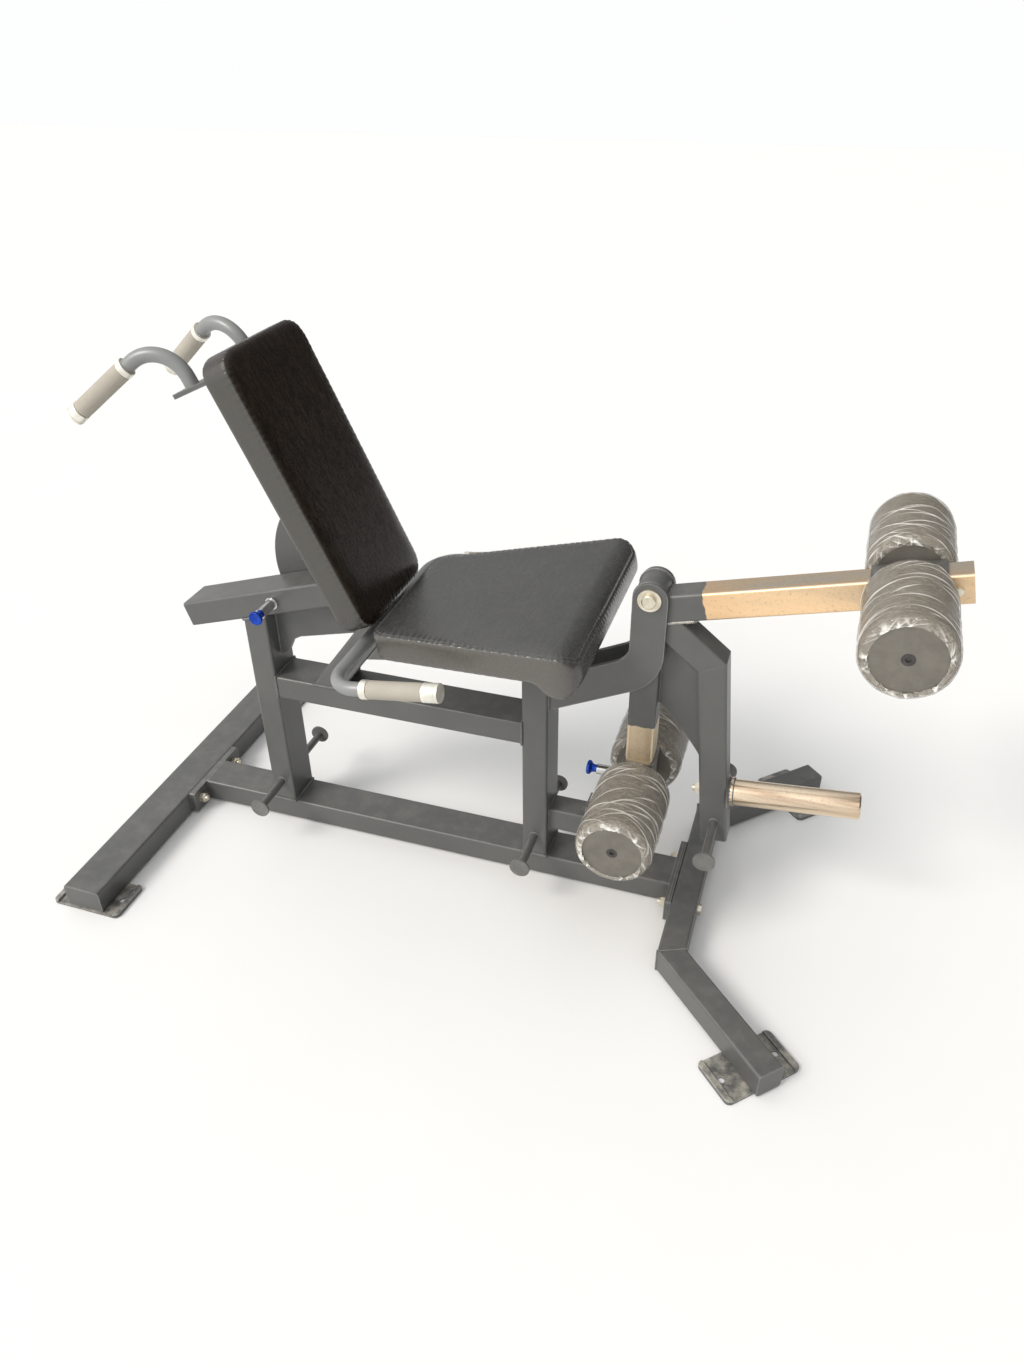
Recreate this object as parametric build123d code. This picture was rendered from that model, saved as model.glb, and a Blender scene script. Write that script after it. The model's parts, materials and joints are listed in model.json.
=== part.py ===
"""Plate-loaded leg extension and leg curl bench, in millimetres.

X points forward, from the back pad to the rollers. Y points to the user's left and Z points up.
The floor is z = 0. X = 0 is the rear face of the rear upright until the last step,
which moves the whole bench so that its box is centred over the origin.
"""
import os
from math import atan2, cos, degrees, radians, sin, tan

from build123d import *

# ---- sections -------------------------------------------------------------------------------
frame_wide = 80.0        # frame tube, across the bench
frame_thick = 50.0       # frame tube, the other way
arm_size = 50.0          # square tube of the swing frame and of the front crossbar
wall = 3.0               # wall of every square tube
tube_corner = 5.0        # outer corner radius of every square tube
plate = 6.0              # flange plates
pivot_plate = 8.0        # plates that hold the main pivot

# ---- base -----------------------------------------------------------------------------------
foot_plate = 4.0                      # thickness of the bolt-down plates under the crossbars
base_top = foot_plate + frame_thick   # top of every base tube
rear_bar_x = -225.0                   # centre line of the rear crossbar
rear_bar_half = 407.0
front_bar_x = 903.0                   # centre line of the front crossbar
front_bend_y = 203.0                  # where the front crossbar turns into its angled legs
leg_length = 286.0                    # from the bend to the end of an angled leg
foot_size = (88.0, 150.0)             # along its bar, and across it
foot_inset = 52.0                     # from the end of a leg to the middle of its foot
rear_foot_y = 367.0                   # middle of a rear foot
foot_hole_r = 6.0
foot_hole_reach = 56.0                # from the middle of the foot to each hole
foot_lip = (12.0, 5.0)                # raised strip along a foot's outer edges, width and height
flange_wide = 180.0
flange_bolt_y = 66.0
bolt_r = 6.0                          # M12 bolts through both crossbars

# ---- uprights and rails ---------------------------------------------------------------------
front_upright_x = 565.0               # rear face of the front upright
middle_rail_top = 375.0
beam_tilt = 17.0                      # back beam, rising to the front
beam_rise = tan(radians(beam_tilt))
beam_under_z = 499.7                  # underside of the back beam at x = 0
beam_rear = -118.0                    # x of its lower rear corner
strut_lean = 37.0                     # seat strut, from the vertical
strut_foot_x = 134.0                  # rear face of the strut where it leaves the middle rail
strut_top_z = 546.0
gusset_thick = 8.0                    # webs under the back beam and in the swing frame
beam_gusset_z = (412.0, 488.0)        # lower edge of the back beam's web, at the upright and at the strut
seat_tilt = 9.5                       # seat, rising to the front
seat_rise = tan(radians(seat_tilt))
seat_beam_under_z = 455.0             # underside of the seat beam at x = 260
stop_z = 141.0                        # centre line of the stop stub
stop_end_x = 688.0

# ---- main pivot and swing frame -------------------------------------------------------------
pivot = (786.0, 669.0)                # x and z of the main pivot
pivot_gap = 51.0                      # between the two pivot plates
pivot_plate_r = 30.0
boss_r = 28.0
axle_r = 10.0
running = 0.05                        # radial clearance of a shaft in its bush
upper_tilt = 14.0                     # upper arm, rising to the front
upper_reach = 488.0                   # from the pivot to the end of the upper arm
lower_arm_x = 785.0
lower_arm_end_z = 125.0
diagonal_tilt = -39.0                 # loading arm, sloping stretch
post_lean = 5.75                      # loading arm, lower stretch, foot forward
post_corner = (922.4, 563.7)          # outer corner of the loading arm's mitre
post_end = 389.0                      # from that corner to the foot of the loading arm
arm_gusset_low = 452.0                # lower corner of the swing frame's web, at the lower arm
horn_z = 278.0
horn_r = 24.15                        # 48.3 mm tube for plates with 50 mm holes
horn_length = 231.0
horn_collar_r = 27.0

# ---- carriages and rollers ------------------------------------------------------------------
carriage_reach = 398.0                # from the pivot to a roller's axis
sleeve_length = 110.0
sleeve_wall = 4.0
sleeve_gap = 0.4                      # between the sleeve and the arm, each side
shaft_r = 12.5
roller_r = 68.0
roller_from = 41.0                    # |y| of a roller's inner end
roller_to = 213.5                     # and of its outer end
roller_gap = 0.5
disc_r = 56.0
disc_thick = 4.0
carriage_barrel = 52.0                # length of a carriage's lock pin barrel

# ---- seat -----------------------------------------------------------------------------------
seat_corner = (335.2, 536.5)          # lower rear edge of the seat, x and z
seat_thick = 56.0
seat_nose_s = 352.0                   # along the seat, where its rounded nose is centred
seat_nose_r = 40.0
seat_half_rear = 153.5
seat_half_front = 233.0
seat_rounds = (26.0, 34.0)            # corner radii in plan, behind and in front
board_thick = 12.0
board_inset = 18.0

# ---- back pad -------------------------------------------------------------------------------
back_lean = 24.5                      # from the vertical
back_corner = (318.0, 575.0)          # lower front edge of the back pad, x and z
back_length = 514.0
back_half = 129.0
back_thick = 56.0
back_round = 38.0
spine_thick = 5.0
hinge = (214.0, 600.0)                # x and z of the back pad's hinge
hinge_r = 8.0
beam_past_hinge = 14.0
sector_r = 172.0
sector_plate_thick = 6.0
sector_side = 41.0                    # |y| of the faces next to the back beam
lock = (72.0, 549.0)                  # x and z of the back pad's lock pin
lock_steps = (0.0, 52.0, 80.0)        # recline of each lock hole, degrees
lock_barrel_length = 46.0

# ---- hand grips -----------------------------------------------------------------------------
handle_r = 12.5
grip_r = 16.0
collar_r = 16.8
side_bar = (289.0, 532.0)             # x and z of the cross tube
side_half = 245.0
side_bend = 52.0
side_end_x = 492.0
handle_base = (-105.0, 486.0)         # on the pad's own grid: out from its front face, and up it
handle_turn = (-105.0, 576.5)
handle_end = (-311.0, 522.0)
handle_y = (90.0, 90.0, 141.0)        # |y| at the base, the turn and the end
handle_bend = 60.0

# ---- band pegs ------------------------------------------------------------------------------
peg_r = 8.0
peg_cap_r = 20.0
peg_cap = 4.0
peg_tip = 136.0                       # |y| of every peg's end
rear_peg = (25.0, 104.0)
front_peg = (590.0, 102.0)
arm_peg = (934.0, 218.0)

# ---- small fastenings -----------------------------------------------------------------------
small_bolt_r = 4.0                    # M8 bolts
small_flats = 13.0                    # across the flats of their heads
medium_flats = 19.0                   # M12
large_flats = 24.0                    # M16
mount_bars = (77.0, 217.0)            # cross bars under the seat, distances up the seat
mount_bar = (40.0, 220.0)             # their width and length
spine_span = (30.0, 484.0)            # ends of the back pad's spine, distances up the pad
spine_wide = 110.0

pin_r = 6.0                           # every lock pin
pin_tip_gap = 0.4                     # from a lock pin's tip to the plate it locks


def turned(angle):
    """Unit vector in the XZ plane, `angle` degrees above +X."""
    return cos(radians(angle)), sin(radians(angle))


def along(point, angle, distance):
    """The XZ point a distance from `point`, `angle` degrees above +X."""
    run, rise = turned(angle)
    return point[0] + distance * run, point[1] + distance * rise


def beam_under(x):
    """Height of the back beam's underside."""
    return beam_under_z + x * beam_rise


def seat_beam_under(x):
    """Height of the seat beam's underside."""
    return seat_beam_under_z + (x - 260.0) * seat_rise


def side_plane(y=0.0):
    """Work plane in XZ: local x is X, local y is Z, and extruding goes towards -Y."""
    return Plane(origin=(0, y, 0), x_dir=(1, 0, 0), z_dir=(0, -1, 0))


def section(wide, deep, corner=tube_corner):
    """Hollow rectangle with rounded corners."""
    inner = max(corner - wall, 0.5)
    return RectangleRounded(wide, deep, corner) - RectangleRounded(wide - 2 * wall, deep - 2 * wall, inner)


def member(start, end, wide, deep, y=0.0):
    """Square tube between two XZ points. `wide` is its size along Y."""
    run, rise = end[0] - start[0], end[1] - start[1]
    length = (run ** 2 + rise ** 2) ** 0.5
    plane = Plane(origin=(start[0], y, start[1]), x_dir=(0, 1, 0), z_dir=(run, 0, rise))
    return extrude(plane * section(wide, deep), length)


def end_plug(point, direction, wide, deep):
    """Plate that closes a tube's end. It fits between the walls, flush with the end."""
    plane = Plane(origin=point, x_dir=(0, 1, 0) if direction[1] == 0 else (1, 0, 0), z_dir=direction)
    inner = RectangleRounded(wide - 2 * wall, deep - 2 * wall, tube_corner - wall)
    return extrude(plane * inner, -wall)


def slab(points, thick, y=0.0, holes=()):
    """Plate in the XZ plane, centred on y, with round holes given as (x, z, radius)."""
    face = make_face(Polyline(*points, close=True))
    for x, z, radius in holes:
        face = face - Pos(x, z) * Circle(radius)
    return extrude(side_plane(y + thick / 2) * face, thick)


def rod(start, end, radius):
    """Cylinder between two points."""
    axis = Vector(*end) - Vector(*start)
    return extrude(Plane(origin=start, z_dir=axis) * Circle(radius), axis.length)


def cross_rod(point, from_y, to_y, radius):
    """Cylinder along Y through an XZ point."""
    return rod((point[0], from_y, point[1]), (point[0], to_y, point[1]), radius)


def ring(point, from_y, to_y, outer, inner):
    """Tube along Y round an XZ point."""
    return cross_rod(point, from_y, to_y, outer) - cross_rod(point, from_y, to_y, inner)


def hexagon(start, end, across):
    """Hexagonal nut or bolt head between two points. `across` is its size over the flats."""
    axis = Vector(*end) - Vector(*start)
    shape = RegularPolygon(across / 2, 6, major_radius=False)
    return extrude(Plane(origin=start, z_dir=axis) * shape, axis.length)


def half_space(point, direction):
    """Large block that fills everything beyond a plane, on the side `direction` points to."""
    return extrude(Plane(origin=point, z_dir=direction) * Rectangle(3000, 3000), 3000)


def mirrored(shape):
    """The same piece on the other side of the bench."""
    return mirror(shape, Plane.XZ)


def pair(shape):
    """A piece and its mirror image."""
    return [shape, mirrored(shape)]


# ---- base -----------------------------------------------------------------------------------
def crossbar_bolt_points():
    """Start and end of each bolt: its head is outside the crossbar, its nut on the rail's flange."""
    mid_z = foot_plate + frame_thick / 2
    rear_face = rear_bar_x - frame_wide / 2
    rear_flange = rear_bar_x + frame_wide / 2 + 2 * plate
    front_face = front_bar_x + arm_size / 2
    front_flange = front_bar_x - arm_size / 2 - 2 * plate
    spots = []
    for y in (-flange_bolt_y, flange_bolt_y):
        spots.append(((rear_face, y, mid_z), (rear_flange, y, mid_z), 1.0))
        spots.append(((front_face, y, mid_z), (front_flange, y, mid_z), -1.0))
    return spots


def bolt_shanks():
    shanks = []
    for head, nut, way in crossbar_bolt_points():
        far = (nut[0] + way * 16, nut[1], nut[2])
        shanks.append(rod(head, far, bolt_r))
    return shanks


def base_rail():
    start = rear_bar_x + frame_wide / 2 + 2 * plate
    end = front_bar_x - arm_size / 2 - 2 * plate
    mid_z = foot_plate + frame_thick / 2
    return member((start, mid_z), (end, mid_z), frame_wide, frame_thick)


def rear_crossbar():
    mid_z = foot_plate + frame_thick / 2
    plane = Plane(origin=(rear_bar_x, -rear_bar_half, mid_z), x_dir=(1, 0, 0), z_dir=(0, 1, 0))
    tube = extrude(plane * section(frame_wide, frame_thick), 2 * rear_bar_half)
    for shank in bolt_shanks():
        tube = tube - shank
    plug = end_plug((rear_bar_x, -rear_bar_half, mid_z), (0, -1, 0), frame_wide, frame_thick)
    return [tube] + pair(plug)


def mitre_plane(side):
    """Cut between the front crossbar and its leg, pointing down the leg."""
    point = (front_bar_x, side * front_bend_y, 0)
    return point, (sin(radians(22.5)), side * cos(radians(22.5)), 0)


def front_crossbar():
    mid_z = foot_plate + arm_size / 2
    reach = front_bend_y + arm_size
    plane = Plane(origin=(front_bar_x, -reach, mid_z), x_dir=(1, 0, 0), z_dir=(0, 1, 0))
    tube = extrude(plane * section(arm_size, arm_size), 2 * reach)
    for side in (-1, 1):
        tube = tube - half_space(*mitre_plane(side))
    for shank in bolt_shanks():
        tube = tube - shank
    return tube


def leg_point(distance, side):
    """Point on a front leg's centre line, in plan."""
    step = distance * sin(radians(45))
    return front_bar_x + step, side * (front_bend_y + step)


def front_leg(side):
    mid_z = foot_plate + arm_size / 2
    x, y = leg_point(-arm_size, side)
    way = (1, side, 0)
    plane = Plane(origin=(x, y, mid_z), x_dir=(1, -side, 0), z_dir=way)
    tube = extrude(plane * section(arm_size, arm_size), leg_length + arm_size)
    point, direction = mitre_plane(side)
    back = (-direction[0], -direction[1], 0)
    tube = tube - half_space(point, back)
    end_x, end_y = leg_point(leg_length, side)
    inner = RectangleRounded(arm_size - 2 * wall, arm_size - 2 * wall, tube_corner - wall)
    plug = extrude(Plane(origin=(end_x, end_y, mid_z), x_dir=(1, -side, 0), z_dir=way) * inner, -wall)
    return [tube, plug]


def foot(x, y, turn):
    """Bolt-down plate. Before it is turned, its bar runs along Y and its holes lie along X."""
    outline = RectangleRounded(foot_size[1], foot_size[0], 10)
    middle = Rectangle(foot_size[1] - 2 * foot_lip[0], foot_size[0] + 1)
    lips = extrude(outline - middle, foot_plate + foot_lip[1])
    lips = chamfer(lips.edges().group_by(Axis.Z)[-1], 1.2)
    for reach in (-foot_hole_reach, foot_hole_reach):
        outline = outline - Pos(reach, 0) * Circle(foot_hole_r)
    return Pos(x, y) * Rot(0, 0, turn) * (extrude(outline, foot_plate) + lips)


def rear_feet():
    return pair(foot(rear_bar_x, -rear_foot_y, 0))


def front_feet():
    x, y = leg_point(leg_length - foot_inset, -1)
    return pair(foot(x, y, 45))


def frame_flanges():
    plates = []
    rear = rear_bar_x + frame_wide / 2
    front = front_bar_x - arm_size / 2 - 2 * plate
    for x in (rear, rear + plate, front, front + plate):
        sheet = extrude(Plane(origin=(x, 0, base_top - frame_thick / 2), x_dir=(0, 1, 0), z_dir=(1, 0, 0))
                        * RectangleRounded(flange_wide, frame_thick, 4), plate)
        for shank in bolt_shanks():
            sheet = sheet - shank
        plates.append(sheet)
    return plates


def flange_bolts():
    pieces = []
    for (head, nut, way), shank in zip(crossbar_bolt_points(), bolt_shanks()):
        top = (head[0] - way * 7.5, head[1], head[2])
        pieces.append(hexagon(head, top, medium_flats) + shank)
        far = (nut[0] + way * 10.5, nut[1], nut[2])
        pieces.append(hexagon(nut, far, medium_flats) - shank)
    return pieces


# ---- uprights, rails and beams --------------------------------------------------------------
def peg(point, from_y, side):
    """Band peg: a bar with a round cap that keeps a loop of band on."""
    bar = cross_rod(point, side * from_y, side * (peg_tip - peg_cap), peg_r)
    cap = cross_rod(point, side * (peg_tip - peg_cap), side * peg_tip, peg_cap_r)
    return bar + cap


def frame_band_pegs():
    pieces = []
    for point in (rear_peg, front_peg):
        pieces += [peg(point, frame_wide / 2, side) for side in (-1, 1)]
    return pieces


def rear_upright():
    mid_x = frame_thick / 2
    tube = member((mid_x, base_top), (mid_x, beam_under(frame_thick) + 5), frame_wide, frame_thick)
    return tube - half_space((0, 0, beam_under(0)), (-sin(radians(beam_tilt)), 0, cos(radians(beam_tilt))))


def front_upright():
    mid_x = front_upright_x + frame_thick / 2
    top = seat_beam_under(front_upright_x) + frame_thick / cos(radians(seat_tilt))
    tube = member((mid_x, base_top), (mid_x, top + 20), frame_wide, frame_thick)
    lean = (-sin(radians(seat_tilt)), 0, cos(radians(seat_tilt)))
    return tube - half_space((front_upright_x, 0, top), lean)


def middle_rail():
    mid_z = middle_rail_top - frame_thick / 2
    return member((frame_thick, mid_z), (front_upright_x, mid_z), frame_wide, frame_thick)


def strut_rear_x(z):
    return strut_foot_x + (z - middle_rail_top) * tan(radians(strut_lean))


def seat_strut():
    """Leaning strut from the middle rail to the cross tube under the seat's rear edge."""
    half = frame_thick / 2 / cos(radians(strut_lean))
    low, high = middle_rail_top - 40, strut_top_z + 40
    tube = member((strut_rear_x(low) + half, low), (strut_rear_x(high) + half, high), frame_wide, frame_thick)
    tube = tube - half_space((0, 0, middle_rail_top), (0, 0, -1))
    tube = tube - half_space((0, 0, strut_top_z), (0, 0, 1))
    return tube - cross_rod(side_bar, -60, 60, handle_r)


def seat_beam():
    """Tube that carries the seat, from the strut to the front upright."""
    start = (200.0, seat_beam_under(200.0))
    end = (front_upright_x + 40, seat_beam_under(front_upright_x + 40))
    up = 90 + seat_tilt
    tube = member(along(start, up, frame_thick / 2), along(end, up, frame_thick / 2), frame_wide, frame_thick)
    tube = tube - half_space((front_upright_x, 0, 0), (1, 0, 0))
    deep = frame_thick / cos(radians(strut_lean))
    face = (strut_rear_x(middle_rail_top) + deep, 0, middle_rail_top)
    behind = (-cos(radians(strut_lean)), 0, sin(radians(strut_lean)))
    return tube - half_space(face, behind)


def back_beam():
    """Sloping tube that holds the back pad's hinge in front and its lock pin behind."""
    start = along((beam_rear, beam_under(beam_rear)), 90 + beam_tilt, frame_thick / 2)
    run, rise = turned(beam_tilt)
    foot_of_hinge = (hinge[0] - start[0]) * run + (hinge[1] - start[1]) * rise
    end = along(start, beam_tilt, foot_of_hinge + beam_past_hinge)
    tube = member(start, end, frame_wide, frame_thick)
    tube = tube - cross_rod(hinge, -60, 60, hinge_r)
    tube = tube - cross_rod(lock, -60, 60, pin_r + running)
    plug = end_plug((start[0], 0, start[1]), (-run, 0, -rise), frame_wide, frame_thick)
    return [tube, plug]


def beam_gusset():
    """Web under the back beam, from the rear upright to the seat strut."""
    front = along(hinge, beam_tilt, beam_past_hinge)[0] + 8
    low_rear, low_front = beam_gusset_z
    points = [(frame_thick, low_rear), (frame_thick, beam_under(frame_thick)), (front, beam_under(front)),
              (strut_rear_x(540), 540), (strut_rear_x(low_front), low_front), (100, 458), (84, 449), (72, 424),
              (frame_thick + 12, low_rear + 1)]
    return slab(points, gusset_thick)


# ---- main pivot -----------------------------------------------------------------------------
def pivot_plate_outline():
    """J-shaped plate: a sloping limb off the front upright that bends up to the pivot."""
    limb_tilt = 25.6
    limb = 64.0
    foot_x = front_upright_x + frame_thick
    low = (foot_x, 411.0)
    rear_x, front_x = pivot[0] - pivot_plate_r + 1, pivot[0] + pivot_plate_r + 1
    slope = tan(radians(limb_tilt))
    high_z = low[1] + limb / cos(radians(limb_tilt))
    low_corner = (front_x, low[1] + (front_x - foot_x) * slope)
    high_corner = (rear_x, high_z + (rear_x - foot_x) * slope)
    edges = Polyline(low, low_corner, (front_x, pivot[1]), (rear_x, pivot[1]), high_corner, (foot_x, high_z),
                     close=True)
    face = make_face(edges)
    outer = face.vertices().sort_by_distance((*low_corner, 0))[0]
    face = fillet(outer, 92)
    inner = face.vertices().sort_by_distance((*high_corner, 0))[0]
    face = fillet(inner, 38)
    return face + Pos(pivot[0] + 1, pivot[1]) * Circle(pivot_plate_r)


def pivot_plates():
    inner = pivot_gap / 2
    face = pivot_plate_outline() - Pos(*pivot) * Circle(axle_r)
    return pair(extrude(side_plane(-inner) * face, pivot_plate))


def pivot_axle():
    """Shouldered axle with a broad washer and a hexagon at each end."""
    outer = pivot_gap / 2 + pivot_plate
    shaft = cross_rod(pivot, -outer - 3, outer + 14, axle_r)
    near = cross_rod(pivot, -outer - 3, -outer, 20) - cross_rod(pivot, -outer - 3, -outer, axle_r)
    far = cross_rod(pivot, outer, outer + 3, 20) - cross_rod(pivot, outer, outer + 3, axle_r)
    head_from = (pivot[0], -outer - 3, pivot[1])
    head = extrude(Plane(origin=head_from, z_dir=(0, -1, 0)) * Circle(12.5), 7)
    head = fillet(head.edges().sort_by(Axis.Y)[0], 3)
    nut = hexagon((pivot[0], outer + 3, pivot[1]), (pivot[0], outer + 13, pivot[1]), large_flats) - shaft
    return [shaft + head, near, far, nut]


def pivot_boss():
    return ring(pivot, -pivot_gap / 2 + 0.5, pivot_gap / 2 - 0.5, boss_r, 14)


def pivot_bushes():
    half = pivot_gap / 2 - 0.5
    return pair(ring(pivot, -half, -half + 20, 14, axle_r + running))


# ---- stop -----------------------------------------------------------------------------------
def stop_stub():
    """Short tube on the front upright with an end plate and the stud of the rubber stop."""
    start = front_upright_x + frame_thick
    tube = member((start, stop_z), (stop_end_x, stop_z), arm_size, arm_size)
    cover = extrude(Plane(origin=(stop_end_x, 0, stop_z + 12), x_dir=(0, 1, 0), z_dir=(1, 0, 0))
                    * RectangleRounded(arm_size, arm_size + 24, 4), plate)
    stud_z = stop_z + 20
    face = stop_end_x + plate
    stud = rod((stop_end_x - 10, 0, stud_z), (735, 0, stud_z), bolt_r)
    cover = cover - stud
    nut = hexagon((face, 0, stud_z), (face + 10, 0, stud_z), medium_flats) - stud
    return [tube, cover, stud, nut]


def stop_buffer():
    """Rubber buffer that the lower arm rests against."""
    stud_z = stop_z + 20
    end = lower_arm_x - arm_size / 2
    body = extrude(Plane(origin=(735, 0, stud_z), z_dir=(1, 0, 0)) * Circle(20), end - 735 - 0.2)
    return fillet(body.edges().sort_by(Axis.X)[-1], 3)


# ---- seat -----------------------------------------------------------------------------------
def seat_plane(y=0.0):
    """XZ work plane on the seat's lower rear edge: local x runs up the seat, local y out of it."""
    run, rise = turned(seat_tilt)
    return Plane(origin=(seat_corner[0], y, seat_corner[1]), x_dir=(run, 0, rise), z_dir=(0, -1, 0))


def seat_point(s, n):
    """XZ point from a distance up the seat and a height above its underside."""
    point = along(seat_corner, seat_tilt, s)
    return along(point, 90 + seat_tilt, n)


def seat_outline(inset=0.0, length=None):
    """Plan of the seat: narrow behind, wide in front, with rounded corners."""
    end = seat_nose_s + seat_nose_r if length is None else length
    growth = (seat_half_front - seat_half_rear) / (seat_nose_s + seat_nose_r)
    rear = seat_half_rear + inset * growth - inset
    front = seat_half_rear + end * growth - inset
    face = make_face(Polyline((inset, -rear), (end, -front), (end, front), (inset, rear), close=True))
    back = face.vertices().sort_by(Axis.X)[:2]
    rear_round, front_round = seat_rounds
    face = fillet(back, rear_round - inset)
    if length is None:
        face = fillet(face.vertices().sort_by(Axis.X)[-2:], front_round)
    return face


def seat_prism(outline, low, high):
    run, rise = turned(seat_tilt)
    origin = (seat_corner[0] - rise * low, 0, seat_corner[1] + run * low)
    plane = Plane(origin=origin, x_dir=(run, 0, rise), z_dir=(-rise, 0, run))
    return extrude(plane * outline, high - low)


def seat_board():
    return seat_prism(seat_outline(board_inset, seat_nose_s - 48), 0, board_thick)


def seat_pad():
    """Foam seat with a rounded nose that hangs over its front edge."""
    centre_n = seat_thick - seat_nose_r
    body = make_face(Polyline((0, 0), (seat_nose_s, 0), (seat_nose_s, seat_thick), (0, seat_thick), close=True))
    profile = body + Pos(seat_nose_s, centre_n) * Circle(seat_nose_r)
    wide = extrude(seat_plane(300) * profile, 600)
    solid = wide & seat_prism(seat_outline(), -60, 90)
    return solid - seat_prism(seat_outline(board_inset, seat_nose_s - 48), -1, board_thick)


def seat_mounts():
    """Two cross bars on the seat beam, each with two bolts up into the board."""
    pieces = []
    rise_to_seat = seat_corner[1] - seat_beam_under(seat_corner[0])
    top_gap = rise_to_seat * cos(radians(seat_tilt)) - frame_thick
    for s in mount_bars:
        run, rise = turned(seat_tilt)
        x, z = seat_point(s, -top_gap)
        plane = Plane(origin=(x, 0, z), x_dir=(run, 0, rise), z_dir=(-rise, 0, run))
        bar = extrude(plane * Rectangle(*mount_bar), top_gap)
        for y in (-90, 90):
            low, high = seat_point(s, -top_gap - 6), seat_point(s, 0)
            bolt = rod((low[0], y, low[1]), (high[0], y, high[1]), small_bolt_r)
            bar = bar - bolt
            under = seat_point(s, -top_gap)
            head = hexagon((under[0], y, under[1]), (low[0], y, low[1]), small_flats)
            pieces.append(head + bolt)
        pieces.append(bar)
    return pieces


# ---- side handles ---------------------------------------------------------------------------
def side_path(side):
    """Half of the side handle's centre line, from the middle of the bench to one open end."""
    x, z = side_bar
    rise = tan(radians(seat_tilt - 1))
    end = (side_end_x, side * side_half, z + (side_end_x - x) * rise)
    return FilletPolyline((x, 0, z), (x, side * side_half, z), end, radius=side_bend)


def side_handle_bar():
    """Round tube under the seat's rear edge, bent forward at both ends."""
    halves = []
    for side in (-1, 1):
        path = side_path(side)
        start = Plane(origin=path @ 0, z_dir=path % 0)
        halves.append(sweep(start * (Circle(handle_r) - Circle(handle_r - 2)), path=path))
    return halves[0] + halves[1]


def side_axis_point(x, side):
    z = side_bar[1] + (x - side_bar[0]) * tan(radians(seat_tilt - 1))
    return x, side * side_half, z


def grip_sleeve(start, end, outer, bore, round_edge):
    """Sleeve on a handle tube between two points."""
    body = rod(start, end, outer)
    body = fillet(body.edges().filter_by(GeomType.CIRCLE), round_edge)
    return body - rod(start, end, bore)


def side_grips():
    return [grip_sleeve(side_axis_point(367, side), side_axis_point(466, side), grip_r, handle_r, 1.5)
            for side in (-1, 1)]


def side_grip_collars():
    pieces = []
    for side in (-1, 1):
        for start, end in ((354, 366.8), (466.2, 489)):
            points = side_axis_point(start, side), side_axis_point(end, side)
            pieces.append(grip_sleeve(*points, collar_r, handle_r, 1))
        cap = rod(side_axis_point(489.2, side), side_axis_point(495, side), collar_r)
        pieces.append(cap - rod(side_axis_point(480, side), side_axis_point(side_end_x, side), handle_r))
    return pieces


# ---- back pad -------------------------------------------------------------------------------
def back_point(n, t):
    """XZ point from a distance out of the pad's front face and a distance up the pad."""
    point = along(back_corner, back_lean, n)
    return along(point, 90 + back_lean, t)


def back_slab(outline, n_low, n_high):
    """Extrude a pad-face outline (local x across, local y up the pad) between two depths."""
    x, z = back_point(n_low, 0)
    run, rise = turned(back_lean)
    plane = Plane(origin=(x, 0, z), x_dir=(0, 1, 0), z_dir=(run, 0, rise))
    return extrude(plane * outline, n_high - n_low)


def back_outline(inset):
    wide, high = 2 * (back_half - inset), back_length - 2 * inset
    return Pos(0, back_length / 2) * RectangleRounded(wide, high, back_round - inset)


def back_board():
    return back_slab(back_outline(board_inset), -back_thick, -back_thick + board_thick)


def back_pad():
    body = back_slab(back_outline(0), -back_thick, 0)
    return body - back_slab(back_outline(board_inset), -back_thick - 1, -back_thick + board_thick)


def back_spine():
    """Flat plate on the back of the pad, with the bolts that hold the board."""
    depth = -back_thick - spine_thick
    low, high = spine_span
    outline = Pos(0, (low + high) / 2) * RectangleRounded(spine_wide, high - low, 8)
    sheet = back_slab(outline, depth, -back_thick)
    pieces = []
    for t in (110.0, 400.0):
        for y in (-32, 32):
            start, end = back_point(depth, t), back_point(-back_thick, t)
            head_end = back_point(depth - 5, t)
            shank = rod((start[0], y, start[1]), (end[0], y, end[1]), small_bolt_r)
            sheet = sheet - shank
            head = hexagon((start[0], y, start[1]), (head_end[0], y, head_end[1]), small_flats)
            pieces.append(head + shank)
    return [sheet] + pieces


def clevis_root(low, high):
    """Two points on the spine's rear face, where a hinge plate is welded to it."""
    depth = -back_thick - spine_thick
    return back_point(depth, low), back_point(depth, high)


def sector_outline():
    """Quadrant round the hinge, from below the lock pin to behind the pad."""
    first = degrees(atan2(lock[1] - hinge[1], lock[0] - hinge[0])) + 14
    last = first - 14 - lock_steps[-1] - 12
    arc_points = [along(hinge, first, sector_r), along(hinge, (first + last) / 2, sector_r),
                  along(hinge, last, sector_r)]
    low, high = clevis_root(36, 170)
    rim = ThreePointArc(*arc_points)
    close_top = Line(arc_points[2], high)
    root = Line(high, low)
    heel = along(hinge, -90, 24)
    under = Line(low, heel)
    close_low = Line(heel, arc_points[0])
    return make_face([rim, close_top, root, under, close_low])


def sector_plate():
    """Locking quadrant on the bench's left side of the back beam."""
    face = sector_outline() - Pos(*hinge) * Circle(hinge_r + running)
    reach = ((lock[0] - hinge[0]) ** 2 + (lock[1] - hinge[1]) ** 2) ** 0.5
    base_angle = degrees(atan2(lock[1] - hinge[1], lock[0] - hinge[0]))
    for step in lock_steps:
        face = face - Pos(*along(hinge, base_angle - step, reach)) * Circle(pin_r + 0.4)
    return extrude(side_plane(sector_side + sector_plate_thick) * face, sector_plate_thick)


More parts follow.
